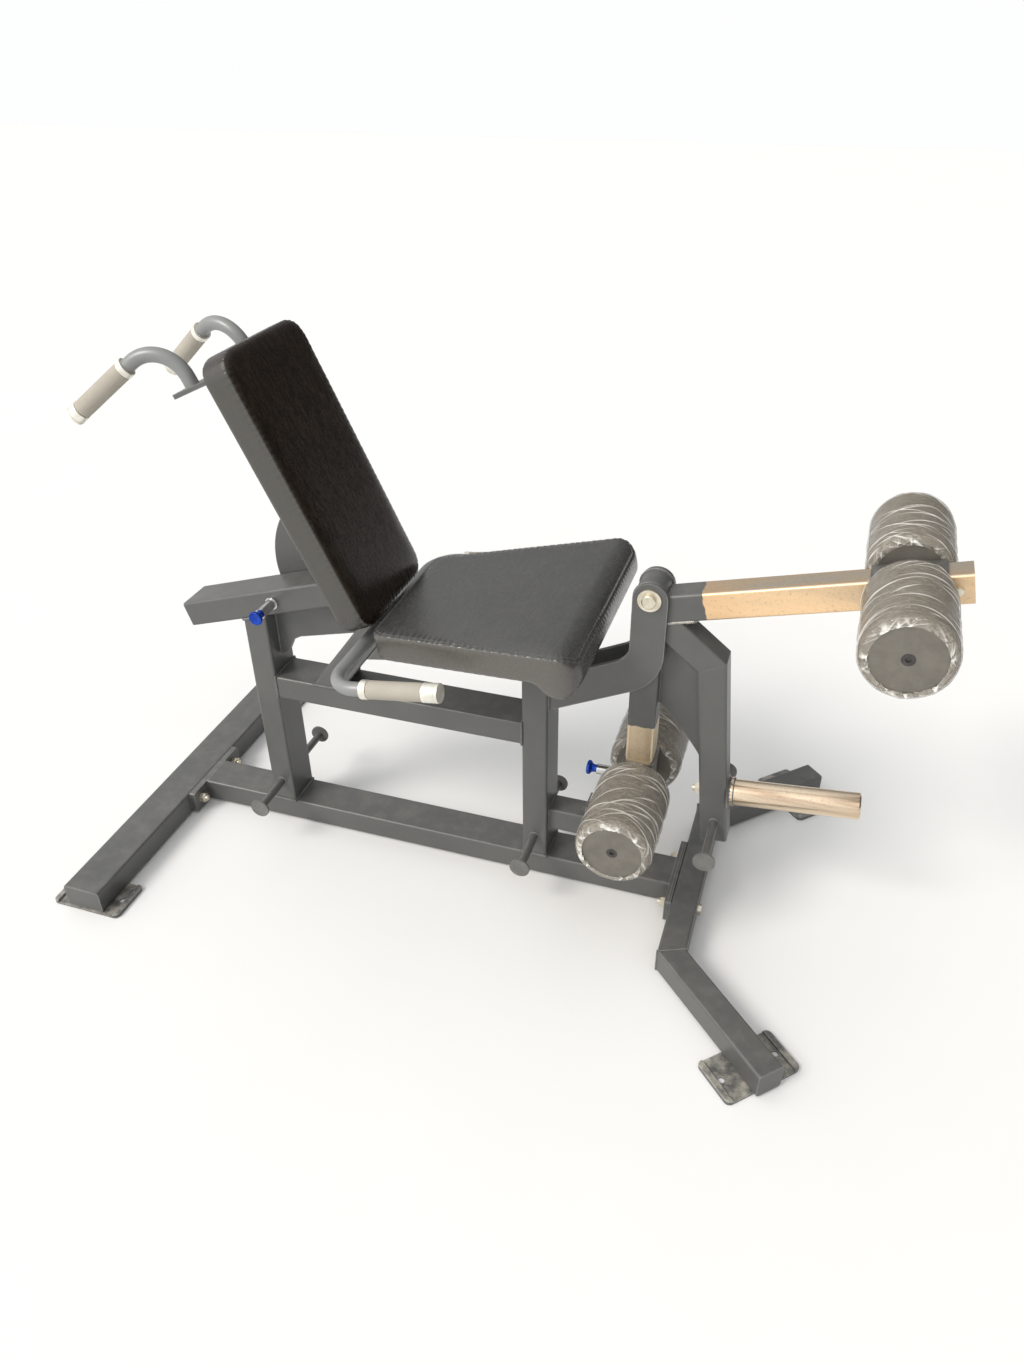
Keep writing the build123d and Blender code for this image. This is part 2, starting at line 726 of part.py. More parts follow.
def hinge_arm():
    """Hinge plate on the bench's right side of the back beam."""
    low, high = clevis_root(36, 120)
    lobe = Pos(*hinge) * Circle(22)
    web = make_face(Polyline(low, high, along(hinge, 100, 21), along(hinge, 270, 21), close=True))
    face = lobe + web - Pos(*hinge) * Circle(hinge_r + running)
    solid = extrude(side_plane(-sector_side) * face, sector_plate_thick)
    run, rise = turned(back_lean)
    return solid - half_space((low[0], 0, low[1]), (run, 0, rise))


def hinge_pin():
    """Pin through the back beam, with a head and a nut outside the hinge plates."""
    outer = sector_side + sector_plate_thick + 0.4
    shaft = cross_rod(hinge, -outer, outer + 12, hinge_r)
    head = hexagon((hinge[0], -outer, hinge[1]), (hinge[0], -outer - 9, hinge[1]), large_flats)
    nut = hexagon((hinge[0], outer, hinge[1]), (hinge[0], outer + 11, hinge[1]), large_flats) - shaft
    return [shaft + head, nut]


def handle_bracket():
    """Shelf across the back of the pad's spine that both handles stand on."""
    depth = -back_thick - spine_thick
    t_low, t_high = handle_base[1] - 8, handle_base[1]
    rear = -136.0
    corners = [back_point(depth, t_low), back_point(depth, t_high), back_point(rear, t_high), back_point(rear, t_low)]
    shelf = slab(corners, 220)
    rib = [back_point(depth, t_low - 60), back_point(depth, t_low), back_point(-124, t_low)]
    return shelf + slab(rib, 6, -30) + slab(rib, 6, 30)


def handle_path(side):
    points = []
    for (n, t), y in zip((handle_base, handle_turn, handle_end), handle_y):
        x, z = back_point(n, t)
        points.append((x, side * y, z))
    return FilletPolyline(*points, radius=handle_bend)


def back_handle(side):
    path = handle_path(side)
    start = Plane(origin=path @ 0, z_dir=path % 0)
    return sweep(start * (Circle(handle_r) - Circle(handle_r - 2)), path=path)


def handle_point(distance, side):
    """Point on a back handle's straight end, measured back from its tip."""
    (x0, z0), (x1, z1) = back_point(*handle_turn), back_point(*handle_end)
    end = Vector(x1, side * handle_y[2], z1)
    start = Vector(x0, side * handle_y[1], z0)
    point = end + (start - end).normalized() * distance
    return point.X, point.Y, point.Z


def back_grips():
    return [grip_sleeve(handle_point(14.2, side), handle_point(120, side), grip_r, handle_r, 1.5)
            for side in (-1, 1)]


def back_grip_collars():
    pieces = []
    for side in (-1, 1):
        for start, end in ((0, 14), (120.2, 131)):
            points = handle_point(start, side), handle_point(end, side)
            pieces.append(grip_sleeve(*points, collar_r, handle_r, 1))
        pieces.append(rod(handle_point(-0.2, side), handle_point(-4, side), collar_r))
    return pieces


# ---- lock pins ------------------------------------------------------------------------------
def pin_barrel(face, way, length):
    """Barrel welded to a face, with a collar at its root. The pin runs in its bore."""
    end = Vector(*face) + Vector(*way) * length
    collar = Vector(*face) + Vector(*way) * 5
    body = rod(face, tuple(end), 10) + rod(face, tuple(collar), 12.5)
    return body - rod(face, tuple(end), pin_r + running)


def pin_and_knob(tip, face, way, barrel):
    """Lock pin from its tip out through the barrel, and the mushroom knob on its end."""
    start = Vector(*tip)
    outside = Vector(*face) + Vector(*way) * (barrel + 0.6)
    knob_end = outside + Vector(*way) * 19
    pin = rod(tuple(start), tuple(outside + Vector(*way) * 10), pin_r)
    pin = chamfer(pin.edges().filter_by(GeomType.CIRCLE).sort_by_distance(start)[0], 1.5)
    plane = Plane(origin=tuple(outside), z_dir=way)
    profile = [(0, 8.0), (8, 8.5), (12, 12.5), (16, 14.0), (19, 12.0)]
    stations = [plane.offset(height) * Circle(radius) for height, radius in profile]
    knob = loft(stations)
    return [pin, knob - rod(tuple(start), tuple(outside + Vector(*way) * 10), pin_r)]


def back_lock_barrel():
    face = (lock[0], -frame_wide / 2, lock[1])
    return pin_barrel(face, (0, -1, 0), lock_barrel_length)


def back_lock_pin():
    face = (lock[0], -frame_wide / 2, lock[1])
    tip = (lock[0], sector_side - pin_tip_gap, lock[1])
    return pin_and_knob(tip, face, (0, -1, 0), lock_barrel_length)


# ---- swing frame ----------------------------------------------------------------------------
def upper_point(s, n=0.0):
    """XZ point along the upper arm from the pivot, and above the arm's top face."""
    return along(along(pivot, upper_tilt, s), 90 + upper_tilt, n)


def arm_holes(points, way, radius):
    """Short bores into one wall of an arm."""
    cuts = []
    for point in points:
        start = Vector(point[0], 0, point[1])
        cuts.append(rod(tuple(start - Vector(*way) * 2), tuple(start + Vector(*way) * 6), radius))
    return cuts


def upper_arm():
    start, end = upper_point(-30, -arm_size / 2), upper_point(upper_reach, -arm_size / 2)
    tube = member(start, end, arm_size, arm_size)
    tube = tube - cross_rod(pivot, -60, 60, boss_r)
    tube = tube - cross_rod(upper_point(upper_reach - 22, -arm_size / 2), -60, 60, 4)
    up = turned(90 + upper_tilt)
    spots = [upper_point(carriage_reach - 40 * step, -arm_size) for step in range(7)]
    for cut in arm_holes(spots, (up[0], 0, up[1]), pin_r + 0.4):
        tube = tube - cut
    way = turned(upper_tilt)
    plugs = [end_plug((end[0], 0, end[1]), (way[0], 0, way[1]), arm_size, arm_size),
             end_plug((start[0], 0, start[1]), (-way[0], 0, -way[1]), arm_size, arm_size)]
    return [tube] + [plug - cross_rod(pivot, -60, 60, boss_r) for plug in plugs]


def lower_arm():
    tube = member((lower_arm_x, lower_arm_end_z), (lower_arm_x, pivot[1]), arm_size, arm_size)
    corner = upper_point(0, -arm_size)
    up = turned(90 + upper_tilt)
    tube = tube - half_space((corner[0], 0, corner[1]), (up[0], 0, up[1]))
    tube = tube - cross_rod((lower_arm_x, lower_arm_end_z + 22), -60, 60, 4)
    rear = lower_arm_x - arm_size / 2
    spots = [(rear, pivot[1] - carriage_reach + step * 25) for step in range(-2, 4)]
    for cut in arm_holes(spots, (1, 0, 0), pin_r + 0.4):
        tube = tube - cut
    plug = end_plug((lower_arm_x, 0, lower_arm_end_z), (0, 0, -1), arm_size, arm_size)
    return [tube, plug]


def post_axis(distance):
    """Centre of the loading arm's lower stretch, down from the mitre's outer corner."""
    down = along(post_corner, -90 + post_lean, distance)
    return along(down, 180 + post_lean, arm_size / 2)


def loading_arm():
    """Mitred tube: a sloping stretch under the upper arm, then a post that carries the horn."""
    slope_start = along(along(post_corner, diagonal_tilt + 180, 150), diagonal_tilt - 90, arm_size / 2)
    slope_end = along(along(post_corner, diagonal_tilt, 60), diagonal_tilt - 90, arm_size / 2)
    slope = member(slope_start, slope_end, arm_size, arm_size)
    post = member(post_axis(-60), post_axis(post_end), arm_size, arm_size)
    turn = (diagonal_tilt - 90 + post_lean) / 2
    normal = turned(turn)
    mitre = ((post_corner[0], 0, post_corner[1]), (normal[0], 0, normal[1]))
    back = (mitre[0], (-normal[0], 0, -normal[1]))
    slope = slope - half_space(*mitre)
    slope = slope - half_space((lower_arm_x + arm_size / 2, 0, 0), (-1, 0, 0))
    corner, up = upper_point(0, -arm_size), turned(90 + upper_tilt)
    slope = slope - half_space((corner[0], 0, corner[1]), (up[0], 0, up[1]))
    post = post - half_space(*back) - horn_bolt_shank()
    foot_point = post_axis(post_end)
    way = turned(-90 + post_lean)
    plug = end_plug((foot_point[0], 0, foot_point[1]), (way[0], 0, way[1]), arm_size, arm_size)
    return [slope, post, plug]


def arm_gusset():
    """Web between the lower arm and the loading arm."""
    front = lower_arm_x + arm_size / 2
    under = along(post_corner, diagonal_tilt - 90, arm_size)
    slope_z = under[1] - (front - under[0]) * tan(radians(-diagonal_tilt))
    low = along(along(post_corner, -90 + post_lean, 214), 180 + post_lean, arm_size)
    mitre_turn = arm_size / cos(radians((90 - post_lean + diagonal_tilt) / 2))
    inner = along(post_corner, (diagonal_tilt - 90 + post_lean) / 2 - 90, mitre_turn)
    rear_low = (front, arm_gusset_low)
    middle = ((front + low[0]) / 2 - 8, (arm_gusset_low + low[1]) / 2 + 16)
    edges = [Line(low, inner), Line(inner, (front, slope_z)), Line((front, slope_z), rear_low),
             ThreePointArc(rear_low, middle, low)]
    return extrude(side_plane(gusset_thick / 2) * make_face(edges), gusset_thick)


def horn_root():
    """Point on the loading arm's front face where the horn's axis leaves it."""
    distance = (post_corner[1] - horn_z) / cos(radians(post_lean))
    return along(post_corner, -90 + post_lean, distance)


def horn_rod(start, end, radius):
    """Cylinder on the horn's axis between two distances from the loading arm's face."""
    first, last = along(horn_root(), post_lean, start), along(horn_root(), post_lean, end)
    return rod((first[0], 0, first[1]), (last[0], 0, last[1]), radius)


def horn_bolt_shank():
    return horn_rod(-arm_size - 16, 20, bolt_r)


def weight_horn():
    """Horn for weight plates: a tube on a collar, closed at its tip."""
    collar = horn_rod(0, 10, horn_collar_r) - horn_rod(0, 10, bolt_r)
    tube = horn_rod(10, horn_length, horn_r)
    tube = chamfer(tube.edges().filter_by(GeomType.CIRCLE).sort_by(Axis.X)[-1], 2.5)
    bore = horn_rod(20, horn_length - 4, horn_r - 3.6)
    root = horn_rod(10, 20, bolt_r)
    vent = horn_rod(horn_length - 5, horn_length + 1, 3)
    return [collar, tube - bore - root - vent]


def horn_bolt():
    """Stud through the loading arm with a nut behind it."""
    nut_from = along(horn_root(), post_lean, -arm_size)
    nut_to = along(horn_root(), post_lean, -arm_size - 10)
    nut = hexagon((nut_from[0], 0, nut_from[1]), (nut_to[0], 0, nut_to[1]), medium_flats) - horn_bolt_shank()
    return [horn_bolt_shank(), nut]


def arm_band_pegs():
    return [peg(arm_peg, arm_size / 2, side) for side in (-1, 1)]


def arm_stop_bolts():
    """Cross bolts that keep each carriage from sliding off its arm."""
    pieces = []
    half = arm_size / 2
    for point in (upper_point(upper_reach - 22, -half), (lower_arm_x, lower_arm_end_z + 22)):
        shank = cross_rod(point, -half, half + 9, small_bolt_r)
        head = hexagon((point[0], -half, point[1]), (point[0], -half - 6, point[1]), small_flats)
        nut = hexagon((point[0], half, point[1]), (point[0], half + 7, point[1]), small_flats) - shank
        pieces += [shank + head, nut]
    return pieces


# ---- carriages and rollers ------------------------------------------------------------------
def upper_centre():
    return upper_point(carriage_reach, -arm_size / 2)


def lower_centre():
    return lower_arm_x, pivot[1] - carriage_reach


def carriage(centre, tilt, pin_way):
    """Sleeve on an arm with two roller shafts and the barrel of its lock pin."""
    bore = arm_size + 2 * sleeve_gap
    outer = bore + 2 * sleeve_wall
    start, end = along(centre, tilt, -sleeve_length / 2), along(centre, tilt, sleeve_length / 2)
    run, rise = turned(tilt)
    plane = Plane(origin=(start[0], 0, start[1]), x_dir=(0, 1, 0), z_dir=(run, 0, rise))
    profile = RectangleRounded(outer, outer, 6) - RectangleRounded(bore, bore, 3)
    body = extrude(plane * profile, sleeve_length)
    for side in (-1, 1):
        shaft = cross_rod(centre, side * outer / 2, side * roller_to, shaft_r)
        shaft = shaft - cross_rod(centre, side * (roller_to - 25), side * roller_to, 5)
        body = body + shaft
    face = pin_face(centre, pin_way)
    bore_rod = rod(tuple(Vector(*face) - Vector(*pin_way) * (sleeve_wall + 1)),
                   tuple(Vector(*face) + Vector(*pin_way) * 2), pin_r + running)
    return (body - bore_rod) + pin_barrel(face, pin_way, carriage_barrel)


def pin_face(centre, pin_way):
    """Point on the sleeve's outside where the lock pin's barrel is welded."""
    half = arm_size / 2 + sleeve_gap + sleeve_wall
    return centre[0] + pin_way[0] * half, 0, centre[1] + pin_way[2] * half


def carriage_pin(centre, pin_way):
    face = pin_face(centre, pin_way)
    inward = sleeve_wall + sleeve_gap - pin_tip_gap
    tip = tuple(Vector(*face) - Vector(*pin_way) * inward)
    return pin_and_knob(tip, face, pin_way, carriage_barrel)


def roller(centre, side):
    """Foam roller with a hard inner tube that turns on its shaft."""
    start, end = side * (roller_from + roller_gap), side * (roller_to - roller_gap)
    tube = ring(centre, start, end, shaft_r + 3, shaft_r + running)
    foam = cross_rod(centre, start, end, roller_r)
    foam = fillet(foam.edges().filter_by(GeomType.CIRCLE), 10)
    return [tube, foam - cross_rod(centre, start, end, shaft_r + 3)]


def roller_discs(centre):
    """End discs of both rollers on a carriage, with the screws that hold the outer ones."""
    pieces = []
    for side in (-1, 1):
        inner = ring(centre, side * (roller_from - disc_thick), side * roller_from, disc_r, shaft_r)
        outer = cross_rod(centre, side * roller_to, side * (roller_to + disc_thick), disc_r)
        outer = fillet(outer.edges().filter_by(GeomType.CIRCLE).sort_by(Axis.Y)[0 if side < 0 else -1], 2)
        face = roller_to + disc_thick
        sink = Plane(origin=(centre[0], side * (face - 4), centre[1]), z_dir=(0, side, 0))
        head = loft([sink * Circle(5), sink.offset(4) * Circle(10)])
        screw = cross_rod(centre, side * (roller_to - 24), side * (face - 4), 5) + head
        socket = Plane(origin=(centre[0], side * (face - 2.5), centre[1]), z_dir=(0, side, 0))
        pieces.append(outer - screw)
        screw = screw - extrude(socket * RegularPolygon(4, 6, major_radius=False), 3)
        pieces += [inner, screw]
    return pieces


def upper_pin_way():
    run, rise = turned(upper_tilt - 90)
    return run, 0, rise


def build():
    """Every node by name, before the bench is moved over its origin."""
    upper, lower = upper_centre(), lower_centre()
    down, back = upper_pin_way(), (-1, 0, 0)
    return {
        "base_rail": base_rail(), "rear_crossbar": rear_crossbar(), "front_crossbar": front_crossbar(),
        "front_leg_left": front_leg(1), "front_leg_right": front_leg(-1),
        "rear_feet": rear_feet(), "front_feet": front_feet(),
        "frame_flanges": frame_flanges(), "flange_bolts": flange_bolts(),
        "rear_upright": rear_upright(), "front_upright": front_upright(), "middle_rail": middle_rail(),
        "seat_strut": seat_strut(), "seat_beam": seat_beam(), "back_beam": back_beam(),
        "beam_gusset": beam_gusset(), "pivot_plates": pivot_plates(), "pivot_axle": pivot_axle(),
        "stop_stub": stop_stub(), "stop_buffer": stop_buffer(), "frame_band_pegs": frame_band_pegs(),
        "seat_pad": seat_pad(), "seat_board": seat_board(), "seat_mounts": seat_mounts(),
        "side_handle_bar": side_handle_bar(), "side_grips": side_grips(),
        "side_grip_collars": side_grip_collars(),
        "hinge_pin": hinge_pin(), "back_lock_barrel": back_lock_barrel(),
        "back_pad": back_pad(), "back_board": back_board(), "back_spine": back_spine(),
        "sector_plate": sector_plate(), "hinge_arm": hinge_arm(), "handle_bracket": handle_bracket(),
        "back_handle_left": back_handle(1), "back_handle_right": back_handle(-1),
        "back_grips": back_grips(), "back_grip_collars": back_grip_collars(),
        "back_lock_pin": back_lock_pin(),
        "pivot_boss": pivot_boss(), "pivot_bushes": pivot_bushes(), "upper_arm": upper_arm(),
        "lower_arm": lower_arm(), "loading_arm": loading_arm(), "arm_gusset": arm_gusset(),
        "weight_horn": weight_horn(), "horn_bolt": horn_bolt(), "arm_band_pegs": arm_band_pegs(),
        "arm_stop_bolts": arm_stop_bolts(),
        "upper_carriage": carriage(upper, upper_tilt, down), "upper_roller_discs": roller_discs(upper),
        "upper_lock_pin": carriage_pin(upper, down),
        "upper_roller_left": roller(upper, 1), "upper_roller_right": roller(upper, -1),
        "lower_carriage": carriage(lower, 90, back), "lower_roller_discs": roller_discs(lower),
        "lower_lock_pin": carriage_pin(lower, back),
        "lower_roller_left": roller(lower, 1), "lower_roller_right": roller(lower, -1),
    }


def solids_of(shape):
    """All solids in a shape or in a list of shapes."""
    items = shape if isinstance(shape, list) else [shape]
    return [solid for item in items for solid in item.solids()]


def main():
    os.makedirs("parts", exist_ok=True)
    nodes = {name: solids_of(shape) for name, shape in build().items()}
    boxes = [solid.bounding_box() for solids in nodes.values() for solid in solids]
    rear, front = min(box.min.X for box in boxes), max(box.max.X for box in boxes)
    floor, top = min(box.min.Z for box in boxes), max(box.max.Z for box in boxes)
    half_wide = max(box.max.Y for box in boxes)
    shift = Pos(-(rear + front) / 2, 0, -floor)
    for name, solids in nodes.items():
        placed = [shift * solid for solid in solids]
        export_step(placed[0] if len(placed) == 1 else Compound(children=placed), f"parts/{name}.step")
    print("nodes", len(nodes), "origin moved by", round(shift.position.X, 3), round(shift.position.Z, 3))
    print("box", round(front - rear, 1), round(2 * half_wide, 1), round(top - floor, 1))


main()
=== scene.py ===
import json
from math import atan2, cos, pi, radians, sin

import bmesh
import bpy
import numpy as np
from mathutils import Matrix, Vector
from mathutils.bvhtree import BVHTree


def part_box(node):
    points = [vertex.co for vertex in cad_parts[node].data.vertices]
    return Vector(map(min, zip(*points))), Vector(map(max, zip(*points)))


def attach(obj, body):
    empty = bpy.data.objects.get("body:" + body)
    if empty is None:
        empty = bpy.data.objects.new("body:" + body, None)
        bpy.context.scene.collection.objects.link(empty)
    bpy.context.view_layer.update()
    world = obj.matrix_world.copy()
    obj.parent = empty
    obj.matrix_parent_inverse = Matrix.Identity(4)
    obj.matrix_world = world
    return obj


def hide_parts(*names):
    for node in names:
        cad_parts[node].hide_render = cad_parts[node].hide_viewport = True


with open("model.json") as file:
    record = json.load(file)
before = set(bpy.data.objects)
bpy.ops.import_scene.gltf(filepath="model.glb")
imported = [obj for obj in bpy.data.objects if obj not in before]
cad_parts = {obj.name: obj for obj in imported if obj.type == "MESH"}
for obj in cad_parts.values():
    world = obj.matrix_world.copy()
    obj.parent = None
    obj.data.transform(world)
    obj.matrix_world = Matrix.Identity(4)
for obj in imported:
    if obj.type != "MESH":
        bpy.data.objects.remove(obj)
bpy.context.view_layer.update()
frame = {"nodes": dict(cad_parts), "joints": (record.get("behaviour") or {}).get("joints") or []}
nodes = frame["nodes"]
jointPlaces = {joint["name"]: np.array(joint["pos_m"]) for joint in frame["joints"] if "pos_m" in joint}
pivotPlace = jointPlaces["swing_pivot"]
mm = 0.001


# small helpers for meshes
def unit(vector):
    vector = np.asarray(vector, float)
    return vector / np.linalg.norm(vector)


def unitRows(vectors):
    return vectors / np.linalg.norm(vectors, axis=1)[:, None]


def crossAxes(axis):
    # two directions square to an axis and to each other
    axis = unit(axis)
    helper = np.array([0.0, 0.0, 1.0]) if abs(axis[2]) < 0.9 else np.array([1.0, 0.0, 0.0])
    first = unit(np.cross(helper, axis))
    return first, np.cross(axis, first)


def fullTurn(count):
    return np.linspace(0, 2 * pi, count, endpoint=False)


def reachAlong(path):
    # distance travelled at each point of a path
    return np.concatenate([[0], np.cumsum(np.linalg.norm(np.diff(path, axis=0), axis=1))])


def ringAround(axis, angle):
    # cos(angle) x one square direction + sin(angle) x the other
    first, second = crossAxes(axis)
    return np.cos(angle)[:, None] * first + np.sin(angle)[:, None] * second


def gridFaces(rows, cols, wrapRows=False, wrapCols=False):
    # quad (i, j), (i, j+1), (i+1, j+1), (i+1, j) for every cell of the grid
    i, j = np.meshgrid(np.arange(rows - (not wrapRows)), np.arange(cols - (not wrapCols)), indexing="ij")
    down, right = (i + 1) % rows, (j + 1) % cols
    return np.stack([i * cols + j, i * cols + right, down * cols + right, down * cols + j], -1).reshape(-1, 4)


def gridShape(points, wrapRows=False, wrapCols=False):
    rows, cols = points.shape[:2]
    return points.reshape(-1, 3), gridFaces(rows, cols, wrapRows, wrapCols)


def joined(shapes):
    # one list of points and faces from several shapes, each one's faces moved on by the points before it
    starts = np.cumsum([0] + [len(points) for points, faces in shapes[:-1]])
    faces = np.concatenate([faces + start for (points, faces), start in zip(shapes, starts)])
    return np.concatenate([points for points, faces in shapes]), faces


def addObject(name, data):
    thing = bpy.data.objects.new(name, data)
    bpy.context.scene.collection.objects.link(thing)
    return thing


def makePiece(name, shape, body, material, closed=True, smooth=True):
    points, faces = shape
    mesh = bpy.data.meshes.new(name)
    mesh.from_pydata(points.tolist(), [], faces.tolist())
    work = bmesh.new()
    work.from_mesh(mesh)
    bmesh.ops.remove_doubles(work, verts=work.verts, dist=1e-6)
    bmesh.ops.dissolve_degenerate(work, edges=work.edges, dist=1e-7)
    if closed:
        bmesh.ops.recalc_face_normals(work, faces=work.faces)
    work.to_mesh(mesh)
    work.free()
    mesh.polygons.foreach_set("use_smooth", np.full(len(mesh.polygons), smooth))
    piece = addObject(name, mesh)
    mesh.materials.append(material)
    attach(piece, body)
    return piece


def latheShape(start, axis, profile, sides=64, flute=0.0, flutes=1):
    # profile is (distance along the axis, radius); radius x (1 + flute cos(flutes angle)), turned once round
    along, radius = np.array(profile, float).T
    angle = fullTurn(sides)
    spread = radius[:, None] * (1 + flute * np.cos(flutes * angle))[None, :]
    ring = ringAround(axis, angle)
    points = np.asarray(start) + along[:, None, None] * unit(axis) + spread[:, :, None] * ring[None]
    return gridShape(points, wrapCols=True)


def evenly(path, step, loop):
    # points a fixed step apart along a run of straight stretches
    path = np.asarray(path, float)
    if loop:
        path = np.vstack([path, path[:1]])
    reach = reachAlong(path)
    count = max(int(round(reach[-1] / step)), 4)
    at = np.linspace(0, reach[-1], count + (not loop), endpoint=not loop)
    return np.stack([np.interp(at, reach, path[:, k]) for k in range(3)], -1), at


def readVectors(items, label):
    values = np.zeros(len(items) * 3)
    items.foreach_get(label, values)
    return values.reshape(-1, 3)


def pointsOf(mesh):
    return readVectors(mesh.vertices, "co")


def normalsOf(mesh):
    return readVectors(mesh.vertices, "normal")


def centresOf(name):
    return readVectors(nodes[name].data.polygons, "center")


# shader groups
def addNode(tree, kind, inputs=None, **settings):
    node = tree.nodes.new("ShaderNode" + kind)
    for key, value in settings.items():
        setattr(node, key, value)
    for key, value in (inputs or {}).items():
        if isinstance(value, bpy.types.NodeSocket):
            tree.links.new(value, node.inputs[key])
        else:
            node.inputs[key].default_value = value
    return node


def calc(tree, operation, first, second=0.0, clamp=False):
    return addNode(tree, "Math", {0: first, 1: second}, operation=operation, use_clamp=clamp).outputs[0]


def times(tree, first, second, clamp=False):
    return calc(tree, "MULTIPLY", first, second, clamp)


def rising(tree, low, span, value):
    # low + span x value
    return calc(tree, "ADD", low, times(tree, value, span))


def flipped(tree, value):
    # 1 - value
    return calc(tree, "SUBTRACT", 1.0, value)


def vectorCalc(tree, operation, first, second, output="Vector"):
    return addNode(tree, "VectorMath", {0: first, 1: second}, operation=operation).outputs[output]


def objectPlace(tree):
    return addNode(tree, "TexCoord").outputs["Object"]


def normalAlong(tree, axis):
    normal = addNode(tree, "NewGeometry").outputs["Normal"]
    return addNode(tree, "SeparateXYZ", {0: normal}).outputs[axis]


def noise(tree, place, scale, detail=3.0, rough=0.55):
    values = {"Vector": place, "Scale": scale, "Detail": detail, "Roughness": rough}
    return addNode(tree, "TexNoise", values).outputs["Fac"]


def ramp(tree, value, low, high):
    values = {"Value": value, "From Min": low, "From Max": high}
    return addNode(tree, "MapRange", values, interpolation_type="SMOOTHSTEP").outputs["Result"]


def blendColour(tree, amount, first, second):
    node = tree.nodes.new("ShaderNodeMix")
    node.data_type = "RGBA"
    for socket, value in ((node.inputs[0], amount), (node.inputs[6], first), (node.inputs[7], second)):
        if isinstance(value, bpy.types.NodeSocket):
            tree.links.new(value, socket)
        else:
            socket.default_value = (*value, 1)
    return node.outputs[2]


def newGroup(name, inputs, outputs):
    group = bpy.data.node_groups.new(name, "ShaderNodeTree")
    for label, value in inputs.items():
        kind = "NodeSocketVector" if isinstance(value, tuple) else "NodeSocketFloat"
        group.interface.new_socket(name=label, in_out="INPUT", socket_type=kind).default_value = value
    for label in outputs:
        group.interface.new_socket(name=label, in_out="OUTPUT", socket_type="NodeSocketFloat")
    return group, group.nodes.new("NodeGroupInput").outputs, group.nodes.new("NodeGroupOutput").inputs


def feed(tree, sockets, values):
    for label, value in values.items():
        tree.links.new(value, sockets[label])


def giveOut(group, outputs, values):
    feed(group, outputs, values)
    return group


def makeEdgeWearAndHighlightGroup():
    # how far a rounded-off normal turns away from the real one, broken up by noise; the mask lightens edges as
    # wear and as painted highlight
    group, given, out = newGroup("edge wear and painted highlight", {"Radius": 0.003, "Amount": 1.0}, ["Mask"])
    soft = addNode(group, "Bevel", {"Radius": given["Radius"]}, samples=4).outputs["Normal"]
    flat = addNode(group, "NewGeometry").outputs["Normal"]
    bend = ramp(group, flipped(group, vectorCalc(group, "DOT_PRODUCT", soft, flat, "Value")), 0.01, 0.12)
    place = objectPlace(group)
    patchy = ramp(group, noise(group, place, 60.0), 0.35, 0.65)
    wornAndHighlit = times(group, bend, rising(group, 0.45, 0.55, patchy))
    return giveOut(group, out, {"Mask": times(group, wornAndHighlit, given["Amount"], clamp=True)})


def makeCoatGroup():
    # fine orange peel of a powder coat, and slow changes in tone
    group, given, out = newGroup("powder coat", {"Scale": 900.0}, ["Height", "Tone"])
    place = objectPlace(group)
    return giveOut(group, out, {"Height": noise(group, place, given["Scale"], 2.0),
                                "Tone": noise(group, place, 7.0, 5.0, 0.65)})


def makeDustGroup():
    # dust lies on faces that look up, thicker in patches
    group, given, out = newGroup("settled dust", {"Amount": 0.5, "Scale": 30.0}, ["Mask"])
    upward = normalAlong(group, "Z")
    place = objectPlace(group)
    patches = ramp(group, noise(group, place, given["Scale"], 6.0, 0.7), 0.38, 0.72)
    lying = times(group, ramp(group, upward, 0.3, 1.0), patches)
    return giveOut(group, out, {"Mask": times(group, lying, given["Amount"], clamp=True)})


def makeGrainGroup():
    # embossed hide: small rounded cells with creases between them, stretched along one direction
    given = {"Cells": 420.0, "Stretch": (1, 1, 1)}
    group, given, out = newGroup("vinyl grain", given, ["Height", "Tone", "Streak"])
    place = objectPlace(group)
    place = vectorCalc(group, "MULTIPLY", place, given["Stretch"])
    wander = addNode(group, "TexNoise", {"Vector": place, "Scale": 90.0, "Detail": 2.0}).outputs["Color"]
    shove = addNode(group, "VectorMath", {0: wander, "Scale": 0.004}, operation="SCALE").outputs["Vector"]
    place = vectorCalc(group, "ADD", place, shove)
    cell = addNode(group, "TexVoronoi", {"Vector": place, "Scale": given["Cells"]},
                   feature="DISTANCE_TO_EDGE").outputs["Distance"]
    crease = ramp(group, cell, 0.0, 0.16)
    long = noise(group, place, 150.0, 6.0, 0.75)
    height = rising(group, times(group, crease, 0.15), 1.3, long)
    streak = ramp(group, noise(group, place, 95.0, 4.0, 0.7), 0.36, 0.66)
    return giveOut(group, out, {"Height": height, "Tone": noise(group, place, 14.0, 4.0), "Streak": streak})


def makeMillGroup():
    # rolled steel: fine lines along one axis over blotches of oil and oxide
    given = {"Stretch": (1, 1, 1), "Blotch": 16.0}
    group, given, out = newGroup("mill finish", given, ["Lines", "Stain", "Speck"])
    place = objectPlace(group)
    drawn = vectorCalc(group, "MULTIPLY", place, given["Stretch"])
    stain = ramp(group, noise(group, drawn, given["Blotch"], 6.0, 0.65), 0.32, 0.68)
    speck = ramp(group, noise(group, place, 260.0, 4.0, 0.7), 0.55, 0.72)
    return giveOut(group, out, {"Lines": noise(group, drawn, 420.0, 3.0), "Stain": stain, "Speck": speck})


groups = {"edge": makeEdgeWearAndHighlightGroup(), "coat": makeCoatGroup(), "dust": makeDustGroup(),
          "grain": makeGrainGroup(), "mill": makeMillGroup()}


# materials
def newMaterial(name, **fixed):
    material = bpy.data.materials.new(name)
    material.use_nodes = True
    tree = material.node_tree
    shader = tree.nodes["Principled BSDF"]
    for label, value in fixed.items():
        shader.inputs[label.replace("_", " ")].default_value = value
    return material, tree, shader.inputs


def useGroup(tree, name, **values):
    return addNode(tree, "Group", values, node_tree=groups[name]).outputs


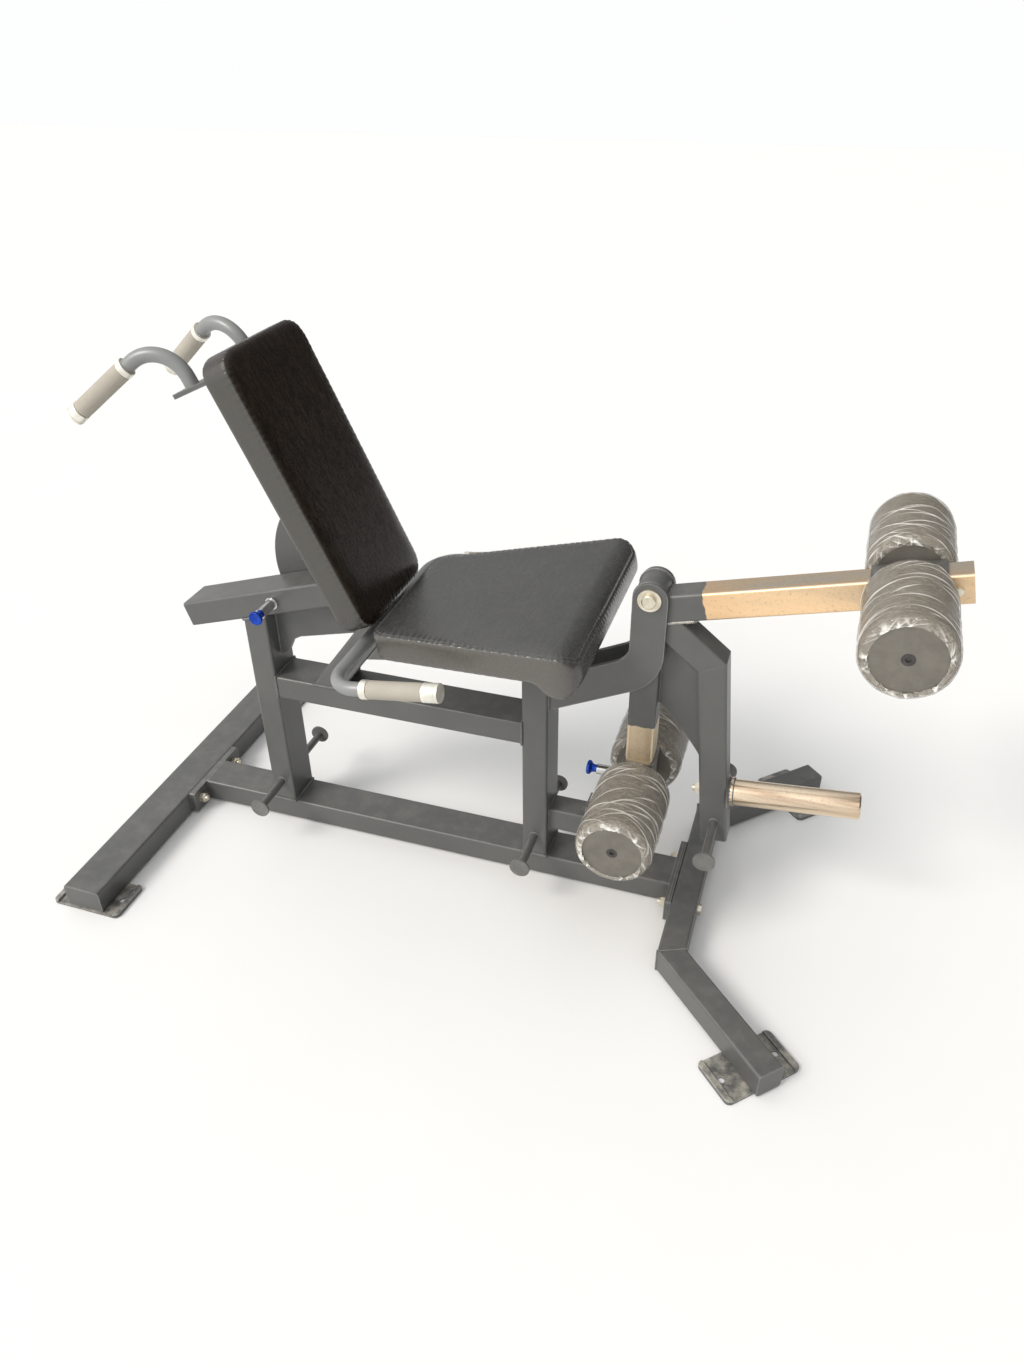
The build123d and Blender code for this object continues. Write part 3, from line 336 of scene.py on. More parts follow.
def bumpOn(tree, socket, height, strength, distance):
    bump = addNode(tree, "Bump", {"Height": height, "Strength": strength, "Distance": distance})
    tree.links.new(bump.outputs["Normal"], socket)


# edge is the light grey laid on the edges: partly wear, partly painted highlight
paint = {"dark": (0.078, 0.079, 0.078), "light": (0.138, 0.138, 0.133), "edge": (0.42, 0.42, 0.41),
         "dust": (0.46, 0.43, 0.37), "roughness": (0.30, 0.44)}


def paintColour(tree, edgeWearAndHighlight, dustAmount, dark=paint["dark"], light=paint["light"]):
    # charcoal that drifts in tone, lighter at the edges as wear and painted highlight, dusty where it faces up
    coat = useGroup(tree, "coat")
    edge = useGroup(tree, "edge", Radius=0.0035, Amount=edgeWearAndHighlight)["Mask"]
    dust = useGroup(tree, "dust", Amount=dustAmount)["Mask"]
    colour = blendColour(tree, coat["Tone"], dark, light)
    colour = blendColour(tree, edge, colour, paint["edge"])
    return blendColour(tree, dust, colour, paint["dust"]), coat, dust


def paintMaterial(name, edgeWearAndHighlight=0.5, dustAmount=0.1, dark=paint["dark"], light=paint["light"]):
    material, tree, sockets = newMaterial(name, Metallic=0.2)
    colour, coat, dust = paintColour(tree, edgeWearAndHighlight, dustAmount, dark, light)
    low, high = paint["roughness"]
    rough = rising(tree, rising(tree, low, high - low, coat["Tone"]), 0.4, dust)
    feed(tree, sockets, {"Base Color": colour, "Roughness": rough})
    bumpOn(tree, sockets["Normal"], coat["Height"], 0.22, 0.0004)
    return material


def vinylWithPaintedSideSheen(name, stretch, dark, light, side, gloss=0.7, cells=420.0):
    # grained vinyl: glossy on the face, dusty where it faces up, and paler on the side bands as painted sheen
    material, tree, sockets = newMaterial(name, Specular_IOR_Level=gloss, Coat_Weight=0.3, Coat_Roughness=0.2)
    grain = useGroup(tree, "grain", Cells=cells, Stretch=stretch)
    dust = useGroup(tree, "dust", Amount=0.10, Scale=18.0)["Mask"]
    shade = rising(tree, times(tree, grain["Streak"], 0.45), 0.55, grain["Tone"])
    colour = blendColour(tree, shade, dark, light)
    # faces square to Y take the side colour: painted sheen
    across = calc(tree, "ABSOLUTE", normalAlong(tree, "Y"))
    colour = blendColour(tree, ramp(tree, across, 0.55, 0.95), colour, side)
    colour = blendColour(tree, dust, colour, (0.11, 0.105, 0.10))
    feed(tree, sockets, {"Base Color": colour, "Roughness": rising(tree, 0.22, 0.1, grain["Streak"])})
    bumpOn(tree, sockets["Normal"], grain["Height"], 0.4, 0.0006)
    return material


def steelMaterial(name, dark, light, stretch, roughness=(0.28, 0.46), blotch=16.0):
    material, tree, sockets = newMaterial(name, Metallic=0.95)
    mill = useGroup(tree, "mill", Stretch=stretch, Blotch=blotch)
    colour = blendColour(tree, mill["Stain"], dark, light)
    colour = blendColour(tree, times(tree, mill["Speck"], 0.35), colour, (0.05, 0.035, 0.025))
    low, high = roughness
    feed(tree, sockets, {"Base Color": colour, "Roughness": rising(tree, low, high - low, mill["Stain"])})
    bumpOn(tree, sockets["Normal"], mill["Lines"], 0.16, 0.0003)
    return material


def armMaterial(name, origin, direction, paintedTo, bare):
    # distance from a point along the arm decides paint or bare steel, with a ragged, heat-tinted border
    material, tree, sockets = newMaterial(name)
    place = objectPlace(tree)
    reach = vectorCalc(tree, "SUBTRACT", place, tuple(origin))
    reach = vectorCalc(tree, "DOT_PRODUCT", reach, tuple(direction), "Value")
    ragged = times(tree, calc(tree, "SUBTRACT", noise(tree, place, 45.0, 4.0), 0.5), 0.012)
    reach = calc(tree, "ADD", reach, ragged)
    isBare = ramp(tree, reach, paintedTo - 0.0012, paintedTo + 0.0012)
    isTinted = flipped(tree, ramp(tree, reach, paintedTo + 0.004, paintedTo + 0.10))
    colour, coat, dust = paintColour(tree, 0.5, 0.08)
    mill = useGroup(tree, "mill", Stretch=bare["stretch"], Blotch=11.0)
    # bare steel's top and side faces take different colours as painted reflection: greyer on top, lighter and
    # warmer on the sides
    across = calc(tree, "ABSOLUTE", normalAlong(tree, "Y"))
    face = blendColour(tree, ramp(tree, across, 0.4, 0.9), bare["top"], bare["side"])
    metal = blendColour(tree, mill["Stain"], bare["dark"], face)
    metal = blendColour(tree, times(tree, isTinted, bare["tinting"]), metal, bare["tint"])
    metal = blendColour(tree, times(tree, mill["Speck"], 0.4), metal, (0.07, 0.045, 0.03))
    feed(tree, sockets, {"Base Color": blendColour(tree, isBare, colour, metal),
                         "Metallic": rising(tree, 0.2, 0.65, isBare),
                         "Roughness": rising(tree, 0.36, 0.12, mill["Stain"])})
    bumpOn(tree, sockets["Normal"], calc(tree, "ADD", coat["Height"], mill["Lines"]), 0.15, 0.0003)
    return material


def foamMaterial(name, dark, light, scale=1500.0, depth=0.0005, roughness=0.85):
    # open pores over a soft drift of colour
    material, tree, sockets = newMaterial(name, Roughness=roughness)
    place = objectPlace(tree)
    feed(tree, sockets, {"Base Color": blendColour(tree, noise(tree, place, 22.0, 5.0), dark, light)})
    pores = addNode(tree, "TexVoronoi", {"Vector": place, "Scale": scale}).outputs["Distance"]
    bumpOn(tree, sockets["Normal"], pores, 0.5, depth)
    return material


def filmMaterial(name):
    # clear stretch film: nearly clear between its creases; along creases and fine lines it is thicker and
    # milkier, and painted white as highlight
    material, tree, sockets = newMaterial(name, Coat_Weight=0.6, Coat_Roughness=0.06, IOR=1.45)
    place = objectPlace(tree)
    crease = addNode(tree, "Attribute", attribute_name="crease").outputs["Fac"]
    drawn = vectorCalc(tree, "MULTIPLY", place, (0.45, 2.6, 0.45))
    crumple = noise(tree, drawn, 62.0, 6.0, 0.72)
    fine = ramp(tree, calc(tree, "ABSOLUTE", calc(tree, "SUBTRACT", crumple, 0.5)), 0.0, 0.03)
    milkyAndHighlight = calc(tree, "MAXIMUM", crease, times(tree, flipped(tree, fine), 0.4), clamp=True)
    feed(tree, sockets, {"Base Color": blendColour(tree, milkyAndHighlight, (0.36, 0.32, 0.26), (0.93, 0.91, 0.86)),
                         "Alpha": rising(tree, 0.38, 0.5, milkyAndHighlight), "Roughness": rising(tree, 0.12, 0.15, milkyAndHighlight)})
    bumpOn(tree, sockets["Normal"], crumple, 0.8, 0.005)
    return material


def glossMaterial(name, dark, light, roughness, **fixed):
    # slow drift of colour and fine turning marks
    material, tree, sockets = newMaterial(name, **fixed)
    mill = useGroup(tree, "mill", Stretch=(1, 1, 1), Blotch=40.0)
    feed(tree, sockets, {"Base Color": blendColour(tree, mill["Stain"], dark, light),
                         "Roughness": rising(tree, roughness, 0.12, mill["Lines"])})
    bumpOn(tree, sockets["Normal"], mill["Lines"], 0.1, 0.0002)
    return material


armTilt = radians(14.0)
armWay = np.array([cos(armTilt), 0, sin(armTilt)])
downWay = np.array([sin(armTilt), 0, -cos(armTilt)])
# top and side are painted reflection colours; dark is the mill stain and tint the heat tint at the paint's
# border
bareArmAndReflection = {"side": (0.92, 0.66, 0.40), "top": (0.50, 0.46, 0.39), "dark": (0.70, 0.52, 0.34),
           "tint": (0.80, 0.50, 0.26), "tinting": 0.35, "stretch": (0.25, 3, 1.5)}
bareLegAndReflection = {"side": (0.95, 0.80, 0.58), "top": (0.60, 0.53, 0.42), "dark": (0.80, 0.65, 0.45),
           "tint": (0.10, 0.085, 0.07), "tinting": 0.12, "stretch": (2, 2, 0.3)}
charcoal = paintMaterial("charcoalPaint")
tubePaint = paintMaterial("handlePaint", 0.5, 0.05, (0.19, 0.195, 0.195), (0.29, 0.295, 0.29))
footPaint = paintMaterial("dustyFootPaint", 0.8, 1.0)
# the last colour of each vinyl is its painted side sheen
seatVinyl = vinylWithPaintedSideSheen("seatVinyl", (1.4, 0.5, 1.2), (0.026, 0.026, 0.025), (0.050, 0.049, 0.047),
                          (0.075, 0.070, 0.060))
backVinyl = vinylWithPaintedSideSheen("backVinyl", (1, 1.5, 0.3), (0.004, 0.0024, 0.0014), (0.030, 0.018, 0.010),
                          (0.070, 0.067, 0.060), 0.3)
upperArmFinish = armMaterial("upperArmFinish", pivotPlace, armWay, 0.086, bareArmAndReflection)
lowerArmFinish = armMaterial("lowerArmFinish", pivotPlace, (0, 0, -1), 0.264, bareLegAndReflection)
hornSteel = steelMaterial("hornSteel", (0.52, 0.38, 0.26), (0.80, 0.66, 0.50), (0.15, 2.5, 2.5), (0.16, 0.28))
sleeveSteel = steelMaterial("sleeveSteel", (0.16, 0.15, 0.14), (0.32, 0.31, 0.29), (1, 1, 1), (0.32, 0.5))
weldSteel = steelMaterial("weldSteel", (0.22, 0.20, 0.18), (0.50, 0.48, 0.44), (1, 1, 1), (0.3, 0.5), 60.0)
zinc = glossMaterial("zincPlate", (0.62, 0.56, 0.44), (0.85, 0.80, 0.68), 0.26, Metallic=0.85)
brightSteel = glossMaterial("brightSteel", (0.48, 0.48, 0.48), (0.70, 0.70, 0.70), 0.16, Metallic=1.0)
blueAnodised = glossMaterial("blueAnodised", (0.006, 0.035, 0.30), (0.012, 0.07, 0.48), 0.2, Metallic=0.7)
collarAluminium = glossMaterial("collarAluminium", (0.70, 0.68, 0.60), (0.90, 0.88, 0.80), 0.3, Metallic=0.7)
discPaint = glossMaterial("discGrey", (0.148, 0.135, 0.115), (0.182, 0.167, 0.143), 0.38, Metallic=0.3)
screwBlack = glossMaterial("screwBlack", (0.05, 0.048, 0.045), (0.085, 0.08, 0.075), 0.3, Metallic=0.6)
capPlastic = glossMaterial("pegCapGrey", (0.11, 0.11, 0.105), (0.16, 0.16, 0.15), 0.42)
bronze = glossMaterial("bushBronze", (0.45, 0.27, 0.10), (0.62, 0.40, 0.18), 0.35, Metallic=0.9)
gripFoam = foamMaterial("gripFoam", (0.34, 0.31, 0.26), (0.46, 0.425, 0.36), 1700.0, 0.0006, 0.7)
rollerFoam = foamMaterial("rollerFoam", (0.11, 0.095, 0.075), (0.20, 0.175, 0.14), 1200.0, 0.0006)
bufferRubber = foamMaterial("bufferRubber", (0.010, 0.010, 0.010), (0.018, 0.018, 0.018), 900.0, 0.0001, 0.6)
boardWood = foamMaterial("boardPly", (0.26, 0.17, 0.09), (0.42, 0.30, 0.18), 500.0, 0.0002, 0.7)
threadBlack = foamMaterial("threadBlack", (0.10, 0.098, 0.092), (0.16, 0.155, 0.145), 3000.0, 0.0001, 0.6)
stretchFilm = filmMaterial("stretchFilm")
print("materials made")


# finishes of the CAD nodes
finishes = {
    "rear_feet": footPaint, "front_feet": footPaint, "flange_bolts": zinc, "pivot_axle": zinc, "hinge_pin": zinc,
    "horn_bolt": zinc, "arm_stop_bolts": zinc, "back_lock_barrel": brightSteel, "upper_arm": upperArmFinish,
    "lower_arm": lowerArmFinish, "weight_horn": hornSteel, "upper_carriage": sleeveSteel,
    "lower_carriage": sleeveSteel, "seat_board": boardWood, "back_board": boardWood, "side_grips": gripFoam,
    "back_grips": gripFoam, "side_grip_collars": collarAluminium, "back_grip_collars": collarAluminium,
    "stop_buffer": bufferRubber, "pivot_bushes": bronze, "upper_roller_discs": discPaint,
    "lower_roller_discs": discPaint, "back_handle_left": tubePaint, "back_handle_right": tubePaint,
    "side_handle_bar": tubePaint,
}
for name, node in nodes.items():
    node.data.materials.clear()
    node.data.materials.append(finishes.get(name, charcoal))


def secondFinish(name, material, chosen):
    # the faces picked by a true or false array take a second material
    node = nodes[name]
    node.data.materials.append(material)
    node.data.polygons.foreach_set("material_index", chosen.astype(np.int32))
    node.data.update()


def middle(name):
    low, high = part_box(name)
    return (np.array(low) + np.array(high)) / 2


screwRadius, barrelFrom, capFrom = 10.3, 30.5, 131.5
for end in ("upper", "lower"):
    centres = centresOf(end + "_roller_discs")
    axle = middle(end + "_roller_left")
    away = np.hypot(centres[:, 0] - axle[0], centres[:, 2] - axle[2])
    secondFinish(end + "_roller_discs", screwBlack, away < screwRadius * mm)
    centres = centresOf(end + "_carriage")
    pinWay = downWay if end == "upper" else np.array([-1.0, 0, 0])
    reach = (centres - axle * [1, 0, 1]) @ pinWay
    secondFinish(end + "_carriage", brightSteel, reach > barrelFrom * mm)
for name in ("frame_band_pegs", "arm_band_pegs"):
    secondFinish(name, capPlastic, np.abs(centresOf(name)[:, 1]) > capFrom * mm)
print("CAD finishes set")


# lock pins with their knobs
knob = {"rod": 6.0, "chamfer": 1.4, "neck": 8.0, "head": 13.5, "face": 11.5, "length": 19.0,
        "neckShare": 0.42, "flareShare": 0.33, "edgeFrom": 0.86, "dish": 1.2, "flute": 0.02, "flutes": 20}


def makeLockPin(node, body, way, tip, outside):
    # the pin is a plain turned rod with a chamfered tip; the knob is a waisted mushroom with a dished face
    way = unit(way)
    radius, chamfer = knob["rod"] * mm, knob["chamfer"] * mm
    rodEnd = float(np.dot(np.array(outside) - tip, way)) + 9 * mm
    profile = [(0, 0), (0, radius - chamfer), (chamfer, radius), (rodEnd, radius), (rodEnd, 0)]
    pin = makePiece(node + "_rod", latheShape(tip, way, profile, 40), body, brightSteel)
    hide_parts(node)
    waist, head, face, length = (knob[key] * mm for key in ("neck", "head", "face", "length"))
    along, neck = np.linspace(0, 1, 60), knob["neckShare"]
    swell = np.where(along < neck, waist - 0.8 * mm * np.sin(along / neck * pi), waist)
    lift = np.clip((along - neck) / knob["flareShare"], 0, 1)
    swell = swell + (head - waist) * (lift * lift * (3 - 2 * lift))
    drop = np.clip((along - knob["edgeFrom"]) / (1 - knob["edgeFrom"]), 0, 1)
    swell = swell - (head - face) * (1 - np.sqrt(1 - drop ** 2))
    dished = length - knob["dish"] * mm
    profile = [(0, radius), (0, waist - 1 * mm)] + list(zip(along * length, swell))
    profile += [(length, face - 1.5 * mm), (dished, face - 4 * mm), (dished, 0)]
    shape = latheShape(outside, way, profile, 120, knob["flute"], knob["flutes"])
    makePiece(node + "_knob", shape, body, blueAnodised)


knobLength = knob["length"] * mm
backPinLow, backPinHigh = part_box("back_lock_pin")
backPinX, _, backPinZ = middle("back_lock_pin")
makeLockPin("back_lock_pin", "back_lock", (0, -1, 0), np.array([backPinX, backPinHigh[1], backPinZ]),
            np.array([backPinX, backPinLow[1] + knobLength, backPinZ]))
lowerPinLow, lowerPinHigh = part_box("lower_lock_pin")
lowerPinZ = middle("lower_lock_pin")[2]
makeLockPin("lower_lock_pin", "lower_lock", (-1, 0, 0), np.array([lowerPinHigh[0], 0, lowerPinZ]),
            np.array([lowerPinLow[0] + knobLength, 0, lowerPinZ]))
# the upper pin is the lower one turned to look down from the upper arm
upperAxle = middle("upper_roller_left") * [1, 0, 1]
lowerAxle = middle("lower_roller_left") * [1, 0, 1]
tipReach, knobReach = lowerAxle[0] - lowerPinHigh[0], lowerAxle[0] - lowerPinLow[0] - knobLength
makeLockPin("upper_lock_pin", "upper_lock", downWay, upperAxle + downWay * tipReach,
            upperAxle + downWay * knobReach)
print("lock pins made")


# weld beads
weld = {"radius": 2.6, "pitch": 3.4, "ripple": 0.16, "step": 0.85, "sides": 8, "tube": 50.0, "peg": 8.6,
        "strutAngle": 37.0, "beamAngle": 17.0, "legBend": 22.5, "hornTilt": 5.75,
        "plateReach": 71.0, "webReach": 175.0, "bareReach": 66.0}
halfTube = weld["tube"] / 2 * mm


def beadShape(path, loop=False, radius=None):
    # a tube whose radius rises and falls once each pitch, like the scales of a weld
    points, at = evenly(path, weld["step"] * mm, loop)
    if loop:
        ahead = np.roll(points, -2, 0) - np.roll(points, 2, 0)
    else:
        ahead = np.gradient(points, axis=0)
    ahead = unitRows(ahead)
    first = unitRows(np.cross(ahead, [0.31, 0.52, 0.79]))
    second = np.cross(ahead, first)
    size = (radius or weld["radius"]) * mm
    swell = size * (1 + weld["ripple"] * (np.abs(np.sin(pi * at / (weld["pitch"] * mm))) - 0.5) * 2
                    + 0.05 * np.sin(at / (17 * mm)))
    if not loop:
        swell[[0, -1]] = size * 0.02
    angle = fullTurn(weld["sides"])
    ring = np.cos(angle)[None, :, None] * first[:, None] + np.sin(angle)[None, :, None] * second[:, None]
    return gridShape(points[:, None] + swell[:, None, None] * ring, wrapRows=loop, wrapCols=True)


def corner(name, which):
    return np.array(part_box(name)[which])


def loopAround(axis, at, low, high):
    # rectangle square to one axis, between two corners given for the other two
    one, two = [k for k in range(3) if k != axis]
    points = np.zeros((4, 3))
    points[:, axis] = at
    points[:, one] = [low[one], high[one], high[one], low[one]]
    points[:, two] = [low[two], low[two], high[two], high[two]]
    return points


def circlePath(centre, axis, radius, count=40):
    return np.asarray(centre) + radius * ringAround(axis, fullTurn(count))


def pegWelds(x, z, out):
    paths = [circlePath((x, side * out, z), (0, 1, 0), weld["peg"] * mm) for side in (-1, 1)]
    return [beadShape(path, True, 1.8) for path in paths]


def makeFrameWelds():
    beads = []
    for name in ("rear_upright", "front_upright"):
        low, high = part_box(name)
        beads.append(beadShape(loopAround(2, low[2], low, high), True))
    low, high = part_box("middle_rail")
    beads += [beadShape(loopAround(0, x, low, high), True) for x in (low[0], high[0])]
    root = corner("front_upright", 1)[0]
    low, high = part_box("stop_stub")
    beads.append(beadShape(loopAround(0, root, low, (high[0], high[1], low[2] + weld["tube"] * mm)), True))
    low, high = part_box("seat_strut")
    footLength = weld["tube"] * mm / cos(radians(weld["strutAngle"]))
    beads.append(beadShape(loopAround(2, low[2], low, (low[0] + footLength, high[1], 0)), True))
    # both sides of the pivot plates and of the web under the back beam
    plateLow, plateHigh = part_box("pivot_plates")
    gussetLow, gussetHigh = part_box("beam_gusset")
    postX, _, postTop = corner("rear_upright", 1)
    webEnd = (postX + weld["webReach"] * mm, postTop + (weld["webReach"] * beamRise - 1) * mm)
    for side in (-1, 1):
        for y, radius in ((side * plateHigh[1], 3.2), (side * plateHigh[1] * 0.75, 2.0)):
            top = plateLow[2] + weld["plateReach"] * mm
            beads.append(beadShape([(root, y, plateLow[2]), (root, y, top)], radius=radius))
    for side in (-1, 1):
        y = side * gussetHigh[1]
        beads.append(beadShape([(postX, y, gussetLow[2] + 2 * mm), (postX, y, postTop - 2 * mm)], radius=2.2))
        beads.append(beadShape([(postX, y, postTop - 1 * mm), (webEnd[0], y, webEnd[1])], radius=2.2))
    # the rear upright's sloping top, under the back beam
    low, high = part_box("rear_upright")
    ring = loopAround(2, high[2] - weld["tube"] * mm * beamRise, low, high)
    ring[[1, 2], 2] = high[2]
    beads.append(beadShape(ring, True))
    for name in ("rear_upright", "front_upright"):
        beads += pegWelds(middle(name)[0], pegHeights[name], 40 * mm)
    for side in (-1, 1):
        miter = loopAround(1, side * bendY, (barX[0], 0, barZ[0]), (barX[1], 0, barZ[1]))
        miter[:, 1] -= side * (miter[:, 0] - sum(barX) / 2) * bendSlope
        beads.append(beadShape(miter, True, 1.6))
    return joined(beads)


def makeSwingWelds():
    beads = []
    legFace = corner("lower_arm", 1)[0]
    for side in (-1, 1):
        boss = circlePath(pivotPlace * [1, 0, 1] + [0, side * halfTube, 0], (0, 1, 0), 28.6 * mm, 60)
        beads.append(beadShape(boss[:34], radius=1.8))
        y = side * webHigh[1]
        beads.append(beadShape([(legFace, y, webHigh[2] - 4 * mm), (legFace, y, 0.456)], radius=2.2))
        beads.append(beadShape([(webBend[0], y, webBend[1]), (webFoot[0], y, webFoot[1])], radius=2.2))
    beads.append(beadShape(circlePath(hornRoot + hornWay * 10 * mm, hornWay, 24.8 * mm, 60), True, 1.8))
    pegX, _, pegZ = middle("arm_band_pegs")
    return joined(beads + pegWelds(pegX, pegZ, halfTube))


def makeBareWelds():
    # the joints that were welded after painting: lower arm and loading arm under the upper arm
    beads = []
    under = pivotPlace * [1, 0, 1] + weld["tube"] * mm * downWay
    legLow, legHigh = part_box("lower_arm")
    span = [(x - under[0]) / cos(armTilt) for x in (legLow[0], legHigh[0])] + [weld["bareReach"] * mm]
    at = [under + armWay * distance for distance in span]
    for side in (-1, 1):
        shove = np.array([0, side * halfTube, 0])
        beads.append(beadShape([at[0] + shove, at[1] + shove]))
        beads.append(beadShape([at[1] + shove * 0.94, at[2] + shove * 0.94], radius=3.0))
    beads.append(beadShape([at[2] + [0, -24 * mm, 0], at[2] + [0, 24 * mm, 0]], radius=3.4))
    return joined(beads)


beamRise = np.tan(radians(weld["beamAngle"]))
bendSlope = np.tan(radians(weld["legBend"]))
hornWay = np.array([cos(radians(weld["hornTilt"])), 0, sin(radians(weld["hornTilt"]))])
pegLow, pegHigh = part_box("frame_band_pegs")
pegHeights = {"rear_upright": pegHigh[2] - 20 * mm, "front_upright": pegLow[2] + 20 * mm}
barLow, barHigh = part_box("front_crossbar")
barX, barZ = (barLow[0], barHigh[0]), (barLow[2], barHigh[2])
bendY = barHigh[1] - halfTube * bendSlope
webLow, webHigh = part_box("arm_gusset")
webFoot = (webHigh[0], webLow[2])
webBend = (webHigh[0] - 21 * mm, webLow[2] + 208 * mm)
hornRoot = corner("weight_horn", 0) * [1, 0, 1] + [2.7 * mm, 0, 26.9 * mm]
makePiece("frame_welds", makeFrameWelds(), "base", charcoal)
makePiece("swing_welds", makeSwingWelds(), "swing", charcoal)
makePiece("bare_welds", makeBareWelds(), "swing", weldSteel)


hornFlare = {"wide": 33.0, "fall": 6.2, "deep": 7.5, "ripple": 0.006, "ripples": 23}


def makeHornFlare():
    # the collar's root: a skirt whose radius falls along a quarter circle, from the post's face to the collar
    wide, fall, deep = (hornFlare[key] * mm for key in ("wide", "fall", "deep"))
    skirt = [(deep * (1 - cos(t)), wide - fall * sin(t)) for t in np.linspace(0, pi / 2, 9)]
    shape = latheShape(hornRoot - hornWay * 0.4 * mm, hornWay, [(0, 0.02)] + skirt + [(deep, 0.02)], 90,
                       hornFlare["ripple"], hornFlare["ripples"])
    makePiece("horn_flare", shape, "swing", charcoal)


makeHornFlare()
print("welds made")


# foam rollers in stretch film
roller = {"foamRadius": 66.5, "foamEdge": 9.0, "bore": 12.55, "filmRadius": 68.0, "tuck": 7.5, "creases": 54,
          "creaseWide": (0.9, 2.0), "creaseHigh": (0.4, 1.6), "creaseLong": (14, 60), "pleats": 90,
          "pleatWide": (0.018, 0.07), "pleatHigh": (-0.8, 1.0), "endRows": 34, "rows": 190, "cols": 320,
          "seed": 11}


def stacked(values):
    # one value for each fold, ready to spread over the rows and columns
    return values[:, None, None]


def halfTurn(angle):
    return (angle + pi) % (2 * pi) - pi


def filmShape(length, seed):
    # the film runs along the roller and tucks in at both ends. Its radius is raised along slanting creases,
    # each a narrow ridge round a sloping line, and pleated where it is gathered round the discs
    chance = np.random.default_rng(seed)
    wrap, tuck, far = roller["filmRadius"], roller["tuck"], length / mm
    radius = wrap * mm
    path = mm * np.array([(-5.5, 52), (-6.5, 57), (-2.0, 64), (tuck * 0.5, wrap - 0.8), (tuck * 1.6, wrap),
                          (far * 0.5, wrap + 0.4), (far - tuck * 1.6, wrap), (far - tuck * 0.5, wrap - 0.8),
                          (far + 2.5, 64.5), (far + 6.5, 58.5), (far + 6.0, 52.5)])
    reach = reachAlong(path)
    endRows = roller["endRows"]
    body = np.linspace(reach[4], reach[6], roller["rows"] - 2 * (endRows - 1))
    nearEnd, farEnd = np.linspace(0, reach[4], endRows), np.linspace(reach[6], reach[-1], endRows)
    at = np.concatenate([nearEnd, body[1:-1], farEnd])
    along, size = np.interp(at, reach, path[:, 0])[:, None], np.interp(at, reach, path[:, 1])[:, None]
    angle = fullTurn(roller["cols"])[None, :]
    # creases: exp(-(distance off the line / width)^2 - (distance along it / length)^2)
    count = roller["creases"]
    centre, turn = chance.uniform(0, length, count), chance.uniform(0, 2 * pi, count)
    slope, wide = chance.normal(0.12, 0.28, count), chance.uniform(*roller["creaseWide"], count) * mm
    high = chance.uniform(*roller["creaseHigh"], count) * mm
    long = chance.uniform(*roller["creaseLong"], count) * mm
    swing = halfTurn(angle[None] - stacked(turn))
    off = along[None] - stacked(centre) - stacked(slope) * swing * radius
    bow = 4 * mm * np.sin(swing * 2.2 + stacked(turn))
    ridge = np.exp(-((off + bow) / stacked(wide)) ** 2 - (swing * radius / stacked(long)) ** 2)
    lifted = (ridge * stacked(high)).max(0)
    gather = np.clip((radius - 1.0 * mm - size) / (10 * mm), 0, 1)
    wobble = 2.2 * np.sin(3 * angle + seed) + 1.3 * np.sin(7 * angle + 2 * seed) + 0.8 * np.sin(along / (4 * mm))
    crumple = 0.25 * mm * (np.sin(9 * angle + along / (6 * mm) + wobble) * np.sin(5 * angle - along / (9 * mm)))
    # pleats: leaning ridges and valleys round each end
    count = roller["pleats"]
    pleatTurn, pleatWide = chance.uniform(0, 2 * pi, count), chance.uniform(*roller["pleatWide"], count)
    pleatLean, pleatHigh = chance.normal(0, 22, count), chance.uniform(*roller["pleatHigh"], count)
    offPleat = halfTurn(angle[None] - (stacked(pleatTurn) + stacked(pleatLean) * (size - radius)[None]))
    fold = np.clip((np.exp(-(offPleat / stacked(pleatWide)) ** 2) * stacked(pleatHigh)).sum(0), -1.3, 1.3)
    spread = size + lifted * (1 - gather) + crumple * (1 - gather) + 0.9 * mm * fold * gather
    outward = np.where(along > length / 2, 1.0, -1.0)
    shift = outward * 2.2 * mm * fold * gather
    points = np.stack([spread * np.cos(angle), along + shift, spread * np.sin(angle)], -1)
    # the crease mask marks ridge crests and the pleats of the gathered ends, where the film's material paints
    # white highlight
    crease = np.clip(ridge.max(0) * (1 - gather) + gather * (0.2 + 0.9 * np.clip(fold, 0, 1)), 0, 1)
    return points, crease


def makeRoller(node, body, seed):
    axle, low, high = middle(node), corner(node, 0), corner(node, 1)
    length = high[1] - low[1]
    size, edge, bore = (roller[key] * mm for key in ("foamRadius", "foamEdge", "bore"))
    turn = np.linspace(0, pi / 2, 10)
    nearEdge = [(edge - edge * np.cos(t), size - edge + edge * np.sin(t)) for t in turn]
    farEdge = [(length - along, radius) for along, radius in nearEdge[::-1]]
    profile = [(0, bore)] + nearEdge + farEdge + [(length, bore), (0, bore)]
    foam = makePiece(node + "_foam", latheShape((axle[0], low[1], axle[2]), (0, 1, 0), profile, 96), body,
                     rollerFoam)
    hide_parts(node)
    outerSide = 1 if axle[1] > 0 else -1
    points, crease = filmShape(length, seed)
    points[..., 1] = outerSide * (points[..., 1] - length / 2)
    film = makePiece(node + "_film", gridShape(points + axle, wrapCols=True), body, stretchFilm,
                     closed=False)
    if outerSide < 0:
        film.data.flip_normals()
    # the crease mask carries the film's painted highlight along with its milky folds
    mask = film.data.attributes.new("crease", "FLOAT", "POINT")
    mask.data.foreach_set("value", crease.reshape(-1).astype(np.float32))


rollerPlaces = (("upper", "left"), ("upper", "right"), ("lower", "left"), ("lower", "right"))
for extra, (end, side) in enumerate(rollerPlaces):
    makeRoller(f"{end}_roller_{side}", f"{end}_{side}_roller", roller["seed"] + extra)
print("rollers wrapped")


